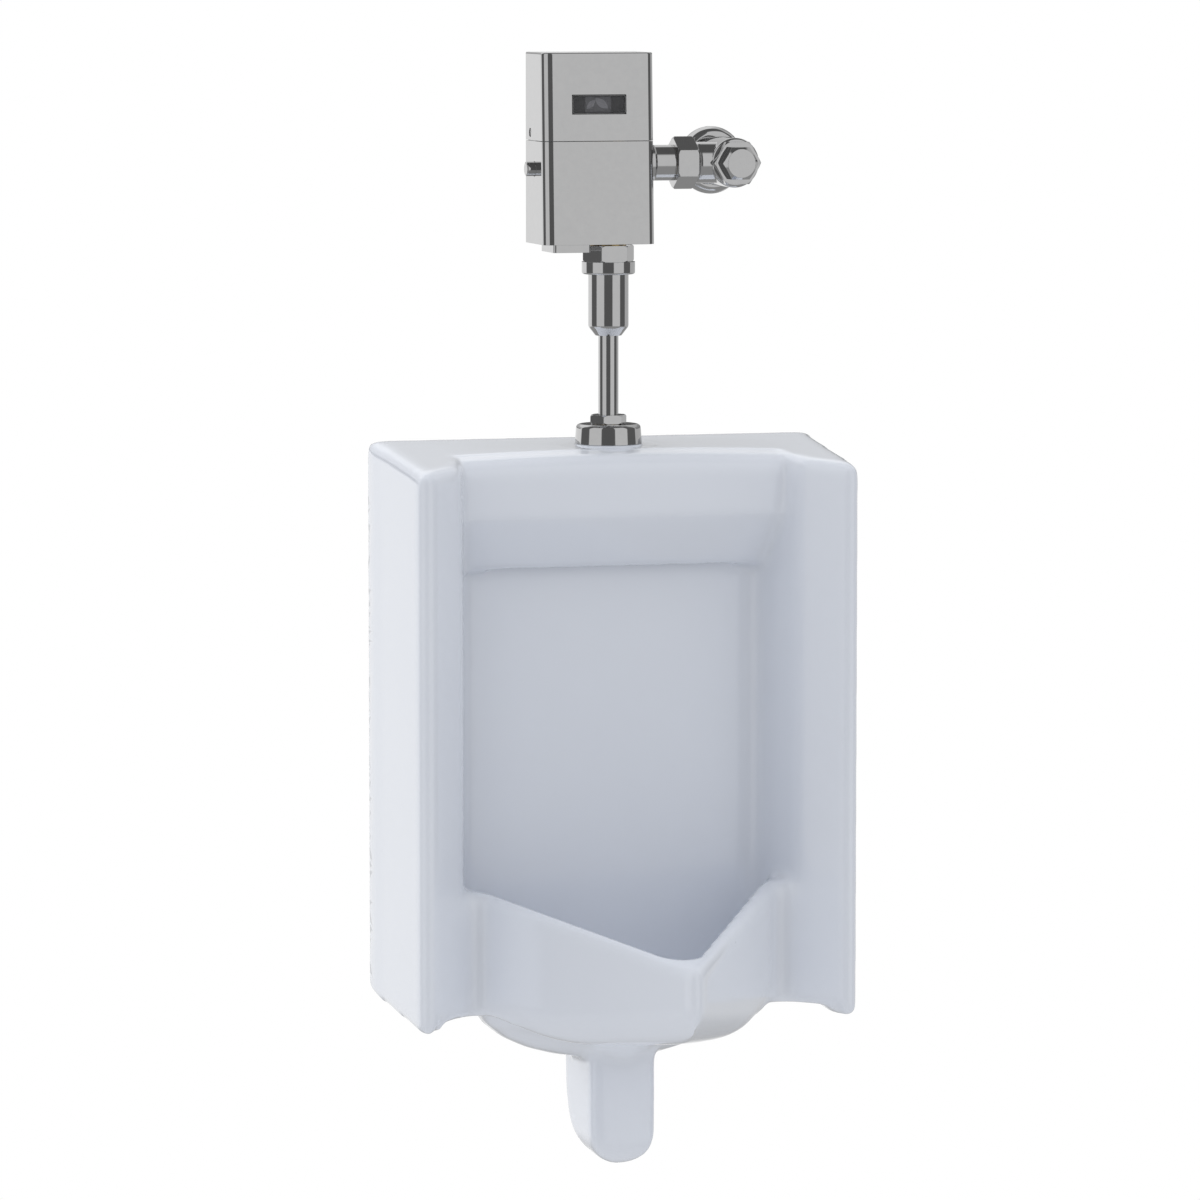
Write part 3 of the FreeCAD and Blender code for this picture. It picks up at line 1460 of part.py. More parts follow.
def flush_button():
    """Push button on the left of the case, its stem guided in the valve body and sprung out."""
    inner_wall = CASE_LEFT + size.case_wall
    collar_start = inner_wall + size.running_gap
    collar_end = collar_start + size.button_collar_thickness
    stem_end = size.button_stem_insert - size.button_boss_end
    node("flush_button", turned("button", [
        (0, CASE_LEFT - size.button_reach),
        (size.button_radius, CASE_LEFT - size.button_reach, size.button_round),
        (size.button_radius, collar_start),
        (size.button_collar_radius, collar_start),
        (size.button_collar_radius, collar_end),
        (size.button_stem_radius, collar_end),
        (size.button_stem_radius, stem_end),
        (0, stem_end),
    ], BUTTON))
    start = collar_end + size.spring_end_gap
    node("button_spring", coil_spring(
        "button_coil", size.button_spring_radius, size.button_spring_wire, SPRING_TURNS["button"], start,
        -size.button_boss_end - size.spring_end_gap - start, BUTTON))


def front_at(height):
    """Depth of the leaning front of the case."""
    return size.case_front_depth - size.case_lean * (height - CASE_LOW) / size.case_height


def case_section(name, height, inset, back):
    left = CASE_LEFT + inset
    right = CASE_RIGHT - inset
    front = front_at(height) - inset
    rounding = size.case_corner_round - inset
    corners = [(left, back), (right, back), (right, front, rounding), (left, front, rounding)]
    return drawing(name, PLAN, height, corners)


def case_form(name, low, high, inset, back):
    """The case's own form between two heights, inset on the front and sides."""
    form = doc.addObject("Part::Loft", name)
    form.Sections = [
        case_section(name + "_low", low, inset, back),
        case_section(name + "_high", high, inset, back),
    ]
    form.Solid = True
    form.Ruled = True
    return form


def case():
    """Two chromed covers with a seam between them, a back plate and a tray-like service cover."""
    wall = size.case_wall
    back = size.case_back_depth
    open_back = back - size.overrun
    lower_high = SEAM - size.case_seam_gap / 2
    upper_low = SEAM + size.case_seam_gap / 2
    lower = cut(
        "lower_shell", case_form("lower_outer", CASE_LOW, lower_high, 0, back),
        case_form("lower_inner", CASE_LOW + wall, lower_high + size.overrun, wall, open_back))
    spigot_hole = rod("case_spigot_hole", size.spigot_radius + size.running_gap, CASE_LOW - size.overrun,
                      wall + 2 * size.overrun, VALVE)
    neck_hole = rod("case_neck_hole", size.neck_radius + size.running_gap, CASE_RIGHT - wall - size.overrun,
                    wall + 2 * size.overrun, INLET)
    button_hole = rod("case_button_hole", size.button_radius + size.button_hole_gap, CASE_LEFT - size.overrun,
                      wall + 2 * size.overrun, BUTTON)
    screw_height = SEAM + size.screw_rise
    screw_axis = axis_right(size.screw_depth, screw_height)
    tabs = []
    screws = []
    screw_holes = []
    tab_holes = []
    near = size.screw_depth - size.tab_width / 2
    far = size.screw_depth + size.tab_width / 2
    for side in ("left", "right"):
        out = -1 if side == "left" else 1
        face = CASE_LEFT + wall if side == "left" else CASE_RIGHT - wall
        inner = face - size.tab_thickness * out
        left = face if side == "left" else inner
        right = inner if side == "left" else face
        tabs.append(block(
            "tab_" + side, left, right, near, far, SEAM - size.tab_overlap, SEAM + size.tab_rise))
        head_end = face + size.screw_head_height * out
        head_start = head_end if side == "left" else face
        head = rod(
            "screw_head_" + side, size.screw_head_radius, head_start, size.screw_head_height, screw_axis)
        tip = face - size.screw_length * out
        shank_start = face if side == "left" else tip
        shank = rod("screw_shank_" + side, size.screw_radius, shank_start, size.screw_length, screw_axis)
        screws.append(fuse("screw_" + side, head, shank))
        middle = face + wall * out / 2
        screw_holes.append(rod("screw_hole_" + side, size.screw_hole_radius, middle - size.overrun,
                               2 * size.overrun, screw_axis))
        tab_holes.append(rod("tab_hole_" + side, size.screw_radius + size.fit_gap, middle - 2 * size.overrun,
                             4 * size.overrun, screw_axis))
    lower = fuse("lower_tabbed", cut("lower_holed", lower, spigot_hole, neck_hole, button_hole), *tabs)
    node("lower_cover", cut("lower", lower, *tab_holes))
    upper_outer = case_form("upper_outer", upper_low, CASE_HIGH, 0, back)
    top = CASE_HIGH
    upper_soft = softened("upper_soft", upper_outer, (
        size.case_edge_round,
        lambda edge: all(abs(v.Z - top.value) < size.fit_gap.value for v in edge.Vertexes)
        and any(v.Y < -back.value - size.fit_gap.value for v in edge.Vertexes)))
    upper = cut(
        "upper_shell", upper_soft,
        case_form("upper_inner", upper_low - size.overrun, CASE_HIGH - wall, wall, open_back))
    window_axis = WINDOW_HEIGHT
    window_left = -size.case_centre - size.window_width / 2
    window_right = size.window_width / 2 - size.case_centre
    window_low = window_axis - size.window_height / 2
    window_high = window_axis + size.window_height / 2
    front_near = size.case_front_depth - size.case_lean - 2 * size.overrun
    front_far = size.case_front_depth + size.overrun
    opening = block(
        "window_opening", window_left, window_right, front_near, front_far, window_low, window_high)
    node("upper_cover", cut("upper", upper, opening, *screw_holes))
    node("cover_screws", group("screw_pair", screws))
    gap = size.window_gap
    pane = block("window_pane", window_left + gap, window_right - gap, front_near, front_far,
                 window_low + gap, window_high - gap)
    outside = case_form("window_outside", upper_low, CASE_HIGH, size.window_recess, open_back)
    inside = case_form(
        "window_inside", upper_low, CASE_HIGH, size.window_recess + size.window_thickness, open_back)
    node("sensor_window", cut("window", common("window_blank", pane, outside), inside))
    plate = block("plate", CASE_LEFT + wall, CASE_RIGHT - wall, back, back + size.back_plate_thickness,
                  CASE_LOW + wall, CASE_HIGH - wall)
    node("back_plate", plate)
    tray_left = CASE_LEFT + size.tray_left_inset
    tray_far = size.case_front_depth - size.tray_front_inset
    tray_near = tray_far - size.tray_length
    tray_right = tray_left + size.tray_width
    corners = [(tray_left, tray_near, size.tray_round), (tray_right, tray_near, size.tray_round)]
    corners += [(tray_right, tray_far, size.tray_round), (tray_left, tray_far, size.tray_round)]
    node("service_cover", prism("tray", PLAN, corners, CASE_LOW, size.tray_height))


def electronics():
    """Battery case on the back plate, circuit board on the case and sensor module on the board."""
    back = size.case_back_depth + size.back_plate_thickness
    middle = -size.case_centre
    cap_top = BARREL_HIGH + size.cap_flange_height
    low = cap_top + size.board_foot
    battery_front = back + size.battery_case_depth
    wall = size.battery_case_wall
    half = size.battery_case_width / 2
    outer = block(
        "battery_outer", middle - half, middle + half, back, battery_front, low,
        low + size.battery_case_height)
    inner = block(
        "battery_inner", middle - half + wall, middle + half - wall, back + wall,
        battery_front + size.overrun, low + wall, low + size.battery_case_height - wall)
    node("battery_case", cut("battery", outer, inner))
    cells = []
    for number, side in enumerate((-1, 1), start=1):
        across = middle + (size.battery_radius + size.running_gap) * side
        cells.append(rod("cell%d" % number, size.battery_radius, low + wall, size.battery_length,
                         axis_up(across, back + size.battery_case_depth / 2)))
    node("battery_cells", group("cell_pair", cells))
    board_half = size.board_width / 2
    board_front = battery_front + size.board_thickness
    node("circuit_board", block("board", middle - board_half, middle + board_half, battery_front, board_front,
                                low, low + size.board_height))
    window_axis = WINDOW_HEIGHT
    module_high = window_axis + size.module_height / 2
    module_front = front_at(module_high) - size.window_recess - size.window_thickness - size.module_front_gap
    module_half = size.module_width / 2
    module = block("module_box", middle - module_half, middle + module_half, board_front, module_front,
                   window_axis - size.module_height / 2, module_high)
    lenses = []
    for number, side in enumerate((-1, 1), start=1):
        lens_axis = axis_out(middle + size.lens_spacing * side / 2, window_axis)
        lenses.append(rod("lens%d" % number, size.lens_radius, module_front, size.lens_length, lens_axis))
    node("sensor_module", fuse("module", module, *lenses))


def supply():
    """Trim ring, coupling nut and tailpiece between the valve and the control stop."""
    nut_start = size.neck_end - size.supply_nut_overlap
    trim_start = CASE_RIGHT + size.seat_gap
    trim_step = trim_start + size.trim_flange
    trim_end = nut_start - size.seat_gap
    bore = size.neck_radius + size.fit_gap
    node("inlet_trim", turned("trim", [
        (bore, trim_start),
        (size.trim_radius, trim_start),
        (size.trim_radius, trim_step),
        (size.trim_sleeve_radius, trim_step + size.trim_slope),
        (size.trim_sleeve_radius, trim_end),
        (bore, trim_end),
    ], INLET))
    gasket_start = size.neck_end
    flange_start = gasket_start + size.tailpiece_gasket_thickness
    flange_end = flange_start + size.tailpiece_flange_thickness
    node("tailpiece_gasket", ring("tail_seal", size.tailpiece_bore_radius, size.tailpiece_flange_radius,
                                  gasket_start, size.tailpiece_gasket_thickness, INLET))
    tail_end = flange_start + size.tailpiece_length
    node("tailpiece", turned("tail", [
        (size.tailpiece_bore_radius, flange_start),
        (size.tailpiece_flange_radius, flange_start),
        (size.tailpiece_flange_radius, flange_end),
        (size.tailpiece_radius, flange_end),
        (size.tailpiece_radius, tail_end),
        (size.tailpiece_bore_radius, tail_end),
    ], INLET))
    lip = flange_end + size.seat_gap
    nut_end = nut_start + size.supply_nut_length
    nut_bore = bore_profile(
        (size.neck_radius + size.fit_gap, nut_start - size.overrun, lip),
        (size.tailpiece_radius + size.fit_gap, lip, nut_end + size.overrun))
    node("supply_nut", hex_nut("supply", size.supply_nut_corners, nut_start, size.supply_nut_length, INLET,
                               nut_bore))
    side_start = nut_end + size.stop_side_gap
    groove_start = side_start + size.ring_inset
    groove_end = groove_start + size.ring_section
    ring_out = size.tailpiece_radius + size.ring_section
    node("tailpiece_o_ring", ring("tail_ring", size.tailpiece_radius + size.fit_gap, ring_out, groove_start,
                                  size.ring_section, INLET))
    barrel = turned("stop_barrel", [
        (0, size.stop_back),
        (size.stop_neck_radius, size.stop_back),
        (size.stop_neck_radius, STOP_SHOULDER),
        (size.stop_barrel_radius, STOP_SHOULDER, size.stop_front_round),
        (size.stop_barrel_radius, STOP_FRONT, size.stop_front_round),
        (0, STOP_FRONT),
    ], STOP)
    side = turned("stop_side", [
        (0, side_start),
        (size.stop_side_radius, side_start, size.stop_side_round),
        (size.stop_side_radius, size.stop_across),
        (0, size.stop_across),
    ], INLET)
    thread_end = size.stop_back + size.stop_thread_length
    chamber = turned("stop_chamber", bore_profile(
        (size.stop_thread_radius, size.stop_back - size.overrun, thread_end),
        (size.stop_seat_bore_radius, thread_end, STOP_SEAT),
        (size.stop_chamber_radius, STOP_SEAT, STOP_FRONT + size.overrun)), STOP)
    socket = size.tailpiece_radius + size.fit_gap
    side_bore = turned("stop_side_bore", bore_profile(
        (socket, side_start - size.overrun, groove_start),
        (ring_out, groove_start, groove_end),
        (socket, groove_end, size.stop_across)), INLET)
    node("stop_body", cut("stop", fuse("stop_solid", barrel, side), chamber, side_bore))


def stop_works():
    """Bonnet, cap, screw spindle and plunger of the control stop, and the escutcheon on the wall."""
    front = STOP_FRONT + size.fit_gap
    bonnet_front = front + size.bonnet_height
    nose_front = bonnet_front + size.bonnet_nose
    plug = size.stop_chamber_radius - size.fit_gap
    screw_bore = size.spindle_radius + size.fit_gap
    bore = bore_profile((screw_bore, front - size.bonnet_plug - size.overrun, nose_front + size.overrun))
    head = hex_nut("bonnet_head", size.bonnet_corners, front, size.bonnet_height, STOP, bore)
    shanks = turned("bonnet_shank", [
        (screw_bore, front - size.bonnet_plug),
        (plug, front - size.bonnet_plug),
        (plug, front),
        (size.bonnet_nose_radius, front),
        (size.bonnet_nose_radius, nose_front),
        (screw_bore, nose_front),
    ], STOP)
    node("stop_bonnet", fuse("bonnet", head, shanks))
    cap_start = bonnet_front + size.fit_gap
    cap_end = cap_start + size.stop_cap_height
    bar = hexagon("cap_bar", size.stop_cap_corners, cap_start, size.stop_cap_height, STOP)
    radius = size.stop_cap_corners / 2
    crown = turned("cap_crown", [
        (0, cap_start),
        (radius, cap_start),
        (radius, cap_end - size.stop_cap_round),
        (radius - size.stop_cap_round, cap_end),
        (0, cap_end),
    ], STOP)
    hole = rod("cap_hole", size.bonnet_nose_radius + size.fit_gap, cap_start - size.overrun,
               size.stop_cap_height - size.stop_cap_wall + size.overrun, STOP)
    node("stop_cap", cut("stop_cap_bored", common("stop_cap_solid", bar, crown), hole))
    stem = rod("spindle_stem", size.spindle_radius, SPINDLE_BACK, SPINDLE_FRONT - SPINDLE_BACK, STOP)
    slot_half = size.spindle_slot_width / 2
    slot = block(
        "spindle_slot", size.stop_across - slot_half, size.stop_across + slot_half,
        SPINDLE_FRONT - size.spindle_slot_depth, SPINDLE_FRONT + size.overrun,
        INLET_HEIGHT - size.spindle_radius - size.overrun, INLET_HEIGHT + size.spindle_radius + size.overrun)
    node("stop_spindle", cut("spindle", stem, slot))
    pocket = size.spindle_radius + size.fit_gap
    pocket_back = SPINDLE_BACK - size.running_gap
    node("stop_plunger", turned("plunger", [
        (0, PLUNGER_BACK),
        (size.plunger_radius, PLUNGER_BACK),
        (size.plunger_radius, PLUNGER_BACK + size.plunger_length),
        (pocket, PLUNGER_BACK + size.plunger_length),
        (pocket, pocket_back),
        (0, pocket_back),
    ], STOP))
    node("stop_washer", rod("stop_disc", size.stop_washer_radius, STOP_DISC_BACK,
                            size.stop_washer_thickness, STOP))
    hole = size.stop_neck_radius + size.running_gap
    wall = size.wall_plate_wall
    high = size.wall_plate_height
    outside = size.wall_plate_radius
    node("wall_escutcheon", turned("wall_plate", [
        (outside - wall, 0),
        (outside, 0),
        (outside, size.wall_plate_edge),
        (outside - size.wall_plate_edge, high, size.wall_plate_round),
        (hole, high),
        (hole, high - wall),
        (outside - size.wall_plate_edge - wall, high - wall, size.wall_plate_round - wall),
        (outside - wall, size.wall_plate_edge),
    ], STOP))


urinal_body()
drain_strainer()
for side, across in HANGERS:
    wall_hanger(side, across)
outlet_fittings()
spud_fittings()
vacuum_breaker()
valve_body()
piston_works()
solenoid()
flush_button()
case()
electronics()
supply()
stop_works()

doc.recompute()
for item in doc.Objects:
    if "Invalid" in item.State or "Error" in item.State:
        raise RuntimeError("%s did not build" % item.Name)
for item in nodes:
    if item.Shape.isNull() or not item.Shape.isValid():
        raise RuntimeError("%s has no valid shape" % item.Label)
os.makedirs("parts", exist_ok=True)
for item in nodes:
    item.Shape.exportStep("parts/%s.step" % item.Label)
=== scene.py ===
import json
import math

import bmesh
import bpy
import numpy as np
from mathutils import Euler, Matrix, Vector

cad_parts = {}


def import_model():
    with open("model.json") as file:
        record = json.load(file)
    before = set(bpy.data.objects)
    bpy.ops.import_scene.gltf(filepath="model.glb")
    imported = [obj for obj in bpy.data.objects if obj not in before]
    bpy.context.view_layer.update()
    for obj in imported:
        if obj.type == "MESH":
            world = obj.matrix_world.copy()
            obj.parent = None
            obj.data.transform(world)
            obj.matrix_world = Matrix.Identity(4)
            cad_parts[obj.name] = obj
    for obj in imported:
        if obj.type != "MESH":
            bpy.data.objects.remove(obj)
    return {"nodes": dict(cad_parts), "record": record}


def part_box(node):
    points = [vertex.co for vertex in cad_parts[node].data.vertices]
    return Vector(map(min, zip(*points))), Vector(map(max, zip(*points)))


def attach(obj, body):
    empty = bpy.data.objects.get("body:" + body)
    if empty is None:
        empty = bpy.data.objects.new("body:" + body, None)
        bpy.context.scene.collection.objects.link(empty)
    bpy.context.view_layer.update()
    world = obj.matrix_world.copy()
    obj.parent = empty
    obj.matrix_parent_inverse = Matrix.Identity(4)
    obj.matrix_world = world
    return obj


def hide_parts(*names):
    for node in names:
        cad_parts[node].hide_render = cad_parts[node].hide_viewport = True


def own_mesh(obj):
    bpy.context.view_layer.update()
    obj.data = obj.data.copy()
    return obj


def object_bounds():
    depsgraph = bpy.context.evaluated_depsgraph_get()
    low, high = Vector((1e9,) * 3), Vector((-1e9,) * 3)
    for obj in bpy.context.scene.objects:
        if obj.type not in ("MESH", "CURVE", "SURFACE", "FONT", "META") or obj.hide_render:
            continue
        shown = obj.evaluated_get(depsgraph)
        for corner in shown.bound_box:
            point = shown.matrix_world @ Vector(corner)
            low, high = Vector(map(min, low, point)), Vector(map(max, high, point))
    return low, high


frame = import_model()
cad_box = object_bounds()
nodes = frame["nodes"]

MM = 0.001
BLACK = (0, 0, 0, 1)
WHITE = (1, 1, 1, 1)

# Camera: the photograph's viewpoint in metres and degrees, and its focal length in pixels of the whole image.
IMAGE_WIDTH = 1200
FOCAL_PIXELS = 6325
SENSOR_WIDTH = 36.0
CAMERA_PLACE = (-1.6019, -5.8128, 1.0351)
CAMERA_YAW = 15.5
CAMERA_PITCH = 5.96
CLIP_END = 100.0


def camera():
    """The photograph's camera."""
    data = bpy.data.cameras.new("camera")
    data.sensor_width = SENSOR_WIDTH
    data.lens = FOCAL_PIXELS / IMAGE_WIDTH * SENSOR_WIDTH
    data.clip_end = CLIP_END
    item = bpy.data.objects.new("camera", data)
    item.location = CAMERA_PLACE
    item.rotation_euler = (math.radians(90 - CAMERA_PITCH), 0, math.radians(-CAMERA_YAW))
    bpy.context.collection.objects.link(item)
    bpy.context.scene.camera = item


class Tree:
    """A short way to write shader nodes: each call adds one node and sets or links its inputs by name."""

    def __init__(self, tree):
        self.tree = tree
        tree.nodes.clear()

    def add(self, kind, inputs=None, **settings):
        item = self.tree.nodes.new(kind)
        for name, value in settings.items():
            setattr(item, name, value)
        for name, value in (inputs or {}).items():
            if isinstance(value, bpy.types.NodeSocket):
                self.tree.links.new(value, item.inputs[name])
            else:
                item.inputs[name].default_value = value
        return item

    def math(self, operation, *values):
        return self.add("ShaderNodeMath", dict(enumerate(values)), operation=operation).outputs[0]

    def mix(self, share, first, second):
        """A colour mix: the node's colour sockets are numbers 6 and 7, and its colour result is number 2."""
        return self.add("ShaderNodeMix", {0: share, 6: first, 7: second}, data_type="RGBA").outputs[2]

    def ramp(self, share, *stops):
        item = self.add("ShaderNodeValToRGB", {"Fac": share})
        elements = item.color_ramp.elements
        while len(elements) < len(stops):
            elements.new(1.0)
        for element, (place, shade) in zip(elements, stops):
            element.position = place
            element.color = grey(shade)
        return item.outputs["Color"]

    def step(self, value, low, high):
        """A smooth step from 0 at low to 1 at high."""
        item = self.add(
            "ShaderNodeMapRange", {"Value": value, "From Min": low, "From Max": high},
            interpolation_type="SMOOTHSTEP", clamp=True)
        return item.outputs["Result"]

    def band(self, value, rise, fall):
        """1 between two smooth steps and 0 outside them."""
        return self.math("SUBTRACT", self.step(value, *rise), self.step(value, *fall))


def grey(shade):
    """An opaque grey."""
    return (shade, shade, shade, 1.0)


# Soft light on matt surfaces.
AMBIENT = (0.985, 0.99, 1.0)
AMBIENT_STRENGTH = 0.75
# What glossy surfaces mirror: upright bands, each with its angle from the camera as a share of half a turn
# and its shade, and a dark ceiling and a grey ground. Heights are given as the sine of the elevation.
BANDS = ((0.0, 0.12), (0.125, 0.12), (0.14, 0.7), (0.385, 0.7), (0.4, 0.13), (0.6, 0.13), (0.62, 0.9))
CEILING = 0.11
CEILING_RISE = (0.72, 0.86)
GROUND = 0.34
GROUND_FALL = (-0.24, -0.4)
# Behind the object: where that begins, a low dark strip, and a dimmer strip over it with its loss.
BEHIND = (0.6, 0.68)
DARK_STRIP = ((0.0, 0.06), (0.1, 0.15))
DIM_STRIP = ((0.12, 0.16), (0.34, 0.44))
DIM_LOSS = 0.4
# The right half of the bright band behind, with its loss.
RIGHT_BEHIND = (0.58, 0.64)
RIGHT_SIDE = (0.0, 0.2)
RIGHT_LOSS = 0.4


def world():
    """White to the camera, banded like a studio to glossy rays, and even soft light to everything else."""
    data = bpy.data.worlds.new("studio")
    bpy.context.scene.world = data
    data.use_nodes = True
    tree = Tree(data.node_tree)
    place = tree.add("ShaderNodeTexCoord")
    turned = tree.add("ShaderNodeMapping", {
        "Vector": place.outputs["Generated"],
        "Rotation": (0, 0, math.radians(CAMERA_YAW)),
    })
    axes = tree.add("ShaderNodeSeparateXYZ", {"Vector": turned.outputs["Vector"]})
    across, along, up = axes.outputs
    angle = tree.math("ABSOLUTE", tree.math("ARCTAN2", across, tree.math("MULTIPLY", along, -1.0)))
    share = tree.math("DIVIDE", angle, math.pi)
    behind = tree.step(share, *BEHIND)
    bands = tree.ramp(share, *BANDS)
    right = tree.math("MULTIPLY", tree.step(share, *RIGHT_BEHIND), tree.step(across, *RIGHT_SIDE))
    bands = tree.mix(tree.math("MULTIPLY", right, RIGHT_LOSS), bands, BLACK)
    dim = tree.math("MULTIPLY", tree.band(up, *DIM_STRIP), behind)
    bands = tree.mix(tree.math("MULTIPLY", dim, DIM_LOSS), bands, BLACK)
    dark = tree.math("MULTIPLY", behind, tree.band(up, *DARK_STRIP))
    ceiling = tree.math("MAXIMUM", dark, tree.step(up, *CEILING_RISE))
    upper = tree.mix(ceiling, bands, grey(CEILING))
    mirrored = tree.mix(tree.step(up, *GROUND_FALL), upper, grey(GROUND))
    path = tree.add("ShaderNodeLightPath")
    glossy = tree.math("MAXIMUM", path.outputs["Is Glossy Ray"], path.outputs["Is Transmission Ray"])
    soft = tuple(channel * AMBIENT_STRENGTH for channel in AMBIENT) + (1,)
    lit = tree.mix(glossy, soft, mirrored)
    seen = tree.mix(path.outputs["Is Camera Ray"], lit, WHITE)
    glow = tree.add("ShaderNodeBackground", {"Color": seen, "Strength": 1.0})
    tree.add("ShaderNodeOutputWorld", {"Surface": glow.outputs["Background"]})


# Each lamp: name, place, aim, width and height in metres, power in watts, colour.
LAMPS = (
    ("left", (-2.6, 2.8, 1.9), (0, -0.1, 0.35), 2.4, 2.6, 41, (1, 0.99, 0.98)),
    ("above", (0, 0.3, 3.2), (0, -0.1, 0.4), 2.2, 2.2, 24, (1, 1, 1)),
)


def lights():
    """A large soft light on the left, a little behind, and another straight above."""
    for name, place, aim, width, height, power, colour in LAMPS:
        data = bpy.data.lights.new(name, "AREA")
        data.shape = "RECTANGLE"
        data.size = width
        data.size_y = height
        data.energy = power
        data.color = colour
        item = bpy.data.objects.new(name, data)
        item.location = place
        towards = np.array(aim) - np.array(place)
        level = math.hypot(towards[0], towards[1])
        item.rotation_euler = (math.atan2(level, -towards[2]), 0, math.atan2(-towards[0], towards[1]))
        item.visible_glossy = False
        bpy.context.collection.objects.link(item)


# The floor: its drop below the object, its size and shade, and the shadow's share and reach.
FLOOR_DROP = 0.45
FLOOR_SIZE = 14.0
FLOOR_SHADE = 0.86
SHADOW_SHARE = 0.2
SHADOW_REACH = (0.5, 1.7)


def floor():
    """A pale floor under the hanging object, white to the camera except for the shadow close below it."""
    half = FLOOR_SIZE / 2
    low = cad_box[0][2] - FLOOR_DROP
    mesh = bpy.data.meshes.new("floor")
    corners = [(-half, -half, low), (half, -half, low), (half, half, low), (-half, half, low)]
    mesh.from_pydata(corners, [], [(0, 1, 2, 3)])
    item = bpy.data.objects.new("floor", mesh)
    bpy.context.collection.objects.link(item)
    material = bpy.data.materials.new("pale_floor")
    material.use_nodes = True
    tree = Tree(material.node_tree)
    path = tree.add("ShaderNodeLightPath")
    place = tree.add("ShaderNodeTexCoord")
    axes = tree.add("ShaderNodeSeparateXYZ", {"Vector": place.outputs["Object"]})
    squares = [tree.math("POWER", axis, 2.0) for axis in axes.outputs[:2]]
    out = tree.math("SQRT", tree.math("ADD", *squares))
    near = tree.math("MULTIPLY", tree.math("SUBTRACT", 1.0, tree.step(out, *SHADOW_REACH)), SHADOW_SHARE)
    matt = tree.add("ShaderNodeBsdfDiffuse", {"Color": grey(FLOOR_SHADE)})
    white = tree.add("ShaderNodeEmission", {"Color": WHITE, "Strength": 1.0})
    seen = tree.math("MULTIPLY", path.outputs["Is Camera Ray"], tree.math("SUBTRACT", 1.0, near))
    both = tree.add("ShaderNodeMixShader", {0: seen, 1: matt.outputs["BSDF"], 2: white.outputs["Emission"]})
    tree.add("ShaderNodeOutputMaterial", {"Surface": both.outputs["Shader"]})
    mesh.materials.append(material)
    item.visible_glossy = False


# The shared relief's inputs and defaults: the grain's scale and detail, the bump's strength and distance, and
# the radius of soft edges. The materials here give it EDGE_RADIUS instead.
RELIEF_INPUTS = (
    ("Scale", 100.0),
    ("Detail", 3.0),
    ("Depth", 0.05),
    ("Distance", 1.0 * MM),
    ("Edge", 0.5 * MM),
)
EDGE_RADIUS = 0.4 * MM
EDGE_SAMPLES = 8


def relief_group():
    """A shared surface effect: a noise share, and a bumped normal with soft edges."""
    group = bpy.data.node_groups.new("fine_relief", "ShaderNodeTree")
    for name, value in RELIEF_INPUTS:
        socket = group.interface.new_socket(name=name, in_out="INPUT", socket_type="NodeSocketFloat")
        socket.default_value = value
    group.interface.new_socket(name="Share", in_out="OUTPUT", socket_type="NodeSocketFloat")
    group.interface.new_socket(name="Normal", in_out="OUTPUT", socket_type="NodeSocketVector")
    tree = Tree(group)
    given = tree.add("NodeGroupInput").outputs
    place = tree.add("ShaderNodeTexCoord")
    noise = tree.add("ShaderNodeTexNoise", {
        "Vector": place.outputs["Object"], "Scale": given["Scale"], "Detail": given["Detail"]})
    edge = tree.add("ShaderNodeBevel", {"Radius": given["Edge"]}, samples=EDGE_SAMPLES)
    bump = tree.add("ShaderNodeBump", {
        "Strength": given["Depth"], "Distance": given["Distance"],
        "Height": noise.outputs["Fac"], "Normal": edge.outputs["Normal"]})
    tree.add("NodeGroupOutput", {"Share": noise.outputs["Fac"], "Normal": bump.outputs["Normal"]})
    return group


RELIEF = relief_group()


def surface(name, dark, light, rough, scale, depth, **constants):
    """A material whose colour and roughness wander between two values with the shared relief."""
    material = bpy.data.materials.new(name)
    material.use_nodes = True
    tree = Tree(material.node_tree)
    relief = tree.add(
        "ShaderNodeGroup", {"Scale": scale, "Depth": depth, "Edge": EDGE_RADIUS}, node_tree=RELIEF)
    colour = tree.mix(relief.outputs["Share"], dark + (1,), light + (1,))
    spread = tree.add("ShaderNodeMapRange", {
        "Value": relief.outputs["Share"], "To Min": rough[0], "To Max": rough[1]})
    shader = tree.add("ShaderNodeBsdfPrincipled", {
        "Base Color": colour, "Roughness": spread.outputs["Result"], "Normal": relief.outputs["Normal"]})
    for socket, value in constants.items():
        shader.inputs[socket.replace("_", " ")].default_value = value
    tree.add("ShaderNodeOutputMaterial", {"Surface": shader.outputs["BSDF"]})
    return material


def china():
    """White glaze: a clear smooth coat over a body whose colour wanders a little bluer with the shared relief's
    noise.
    """
    return surface(
        "china_glaze", (0.77, 0.805, 0.88), (0.8, 0.835, 0.905), (0.1, 0.16), 9.0, 0.02,
        Specular_IOR_Level=0.25, Coat_Weight=0.8, Coat_Roughness=0.12)


SMOKE_TINT = (0.9, 0.9, 0.92, 1)
SMOKE_CLEAR = 0.7


def smoked():
    """Dark acrylic: a dark glossy body mixed with a share that lets light straight through."""
    material = surface("smoked_window", (0.11, 0.11, 0.112), (0.13, 0.13, 0.132), (0.04, 0.08), 90.0, 0.01)
    tree = material.node_tree
    clear = tree.nodes.new("ShaderNodeBsdfTransparent")
    clear.inputs["Color"].default_value = SMOKE_TINT
    both = tree.nodes.new("ShaderNodeMixShader")
    both.inputs[0].default_value = SMOKE_CLEAR
    tree.links.new(tree.nodes["Principled BSDF"].outputs["BSDF"], both.inputs[1])
    tree.links.new(clear.outputs["BSDF"], both.inputs[2])
    tree.links.new(both.outputs["Shader"], tree.nodes["Material Output"].inputs["Surface"])
    return material


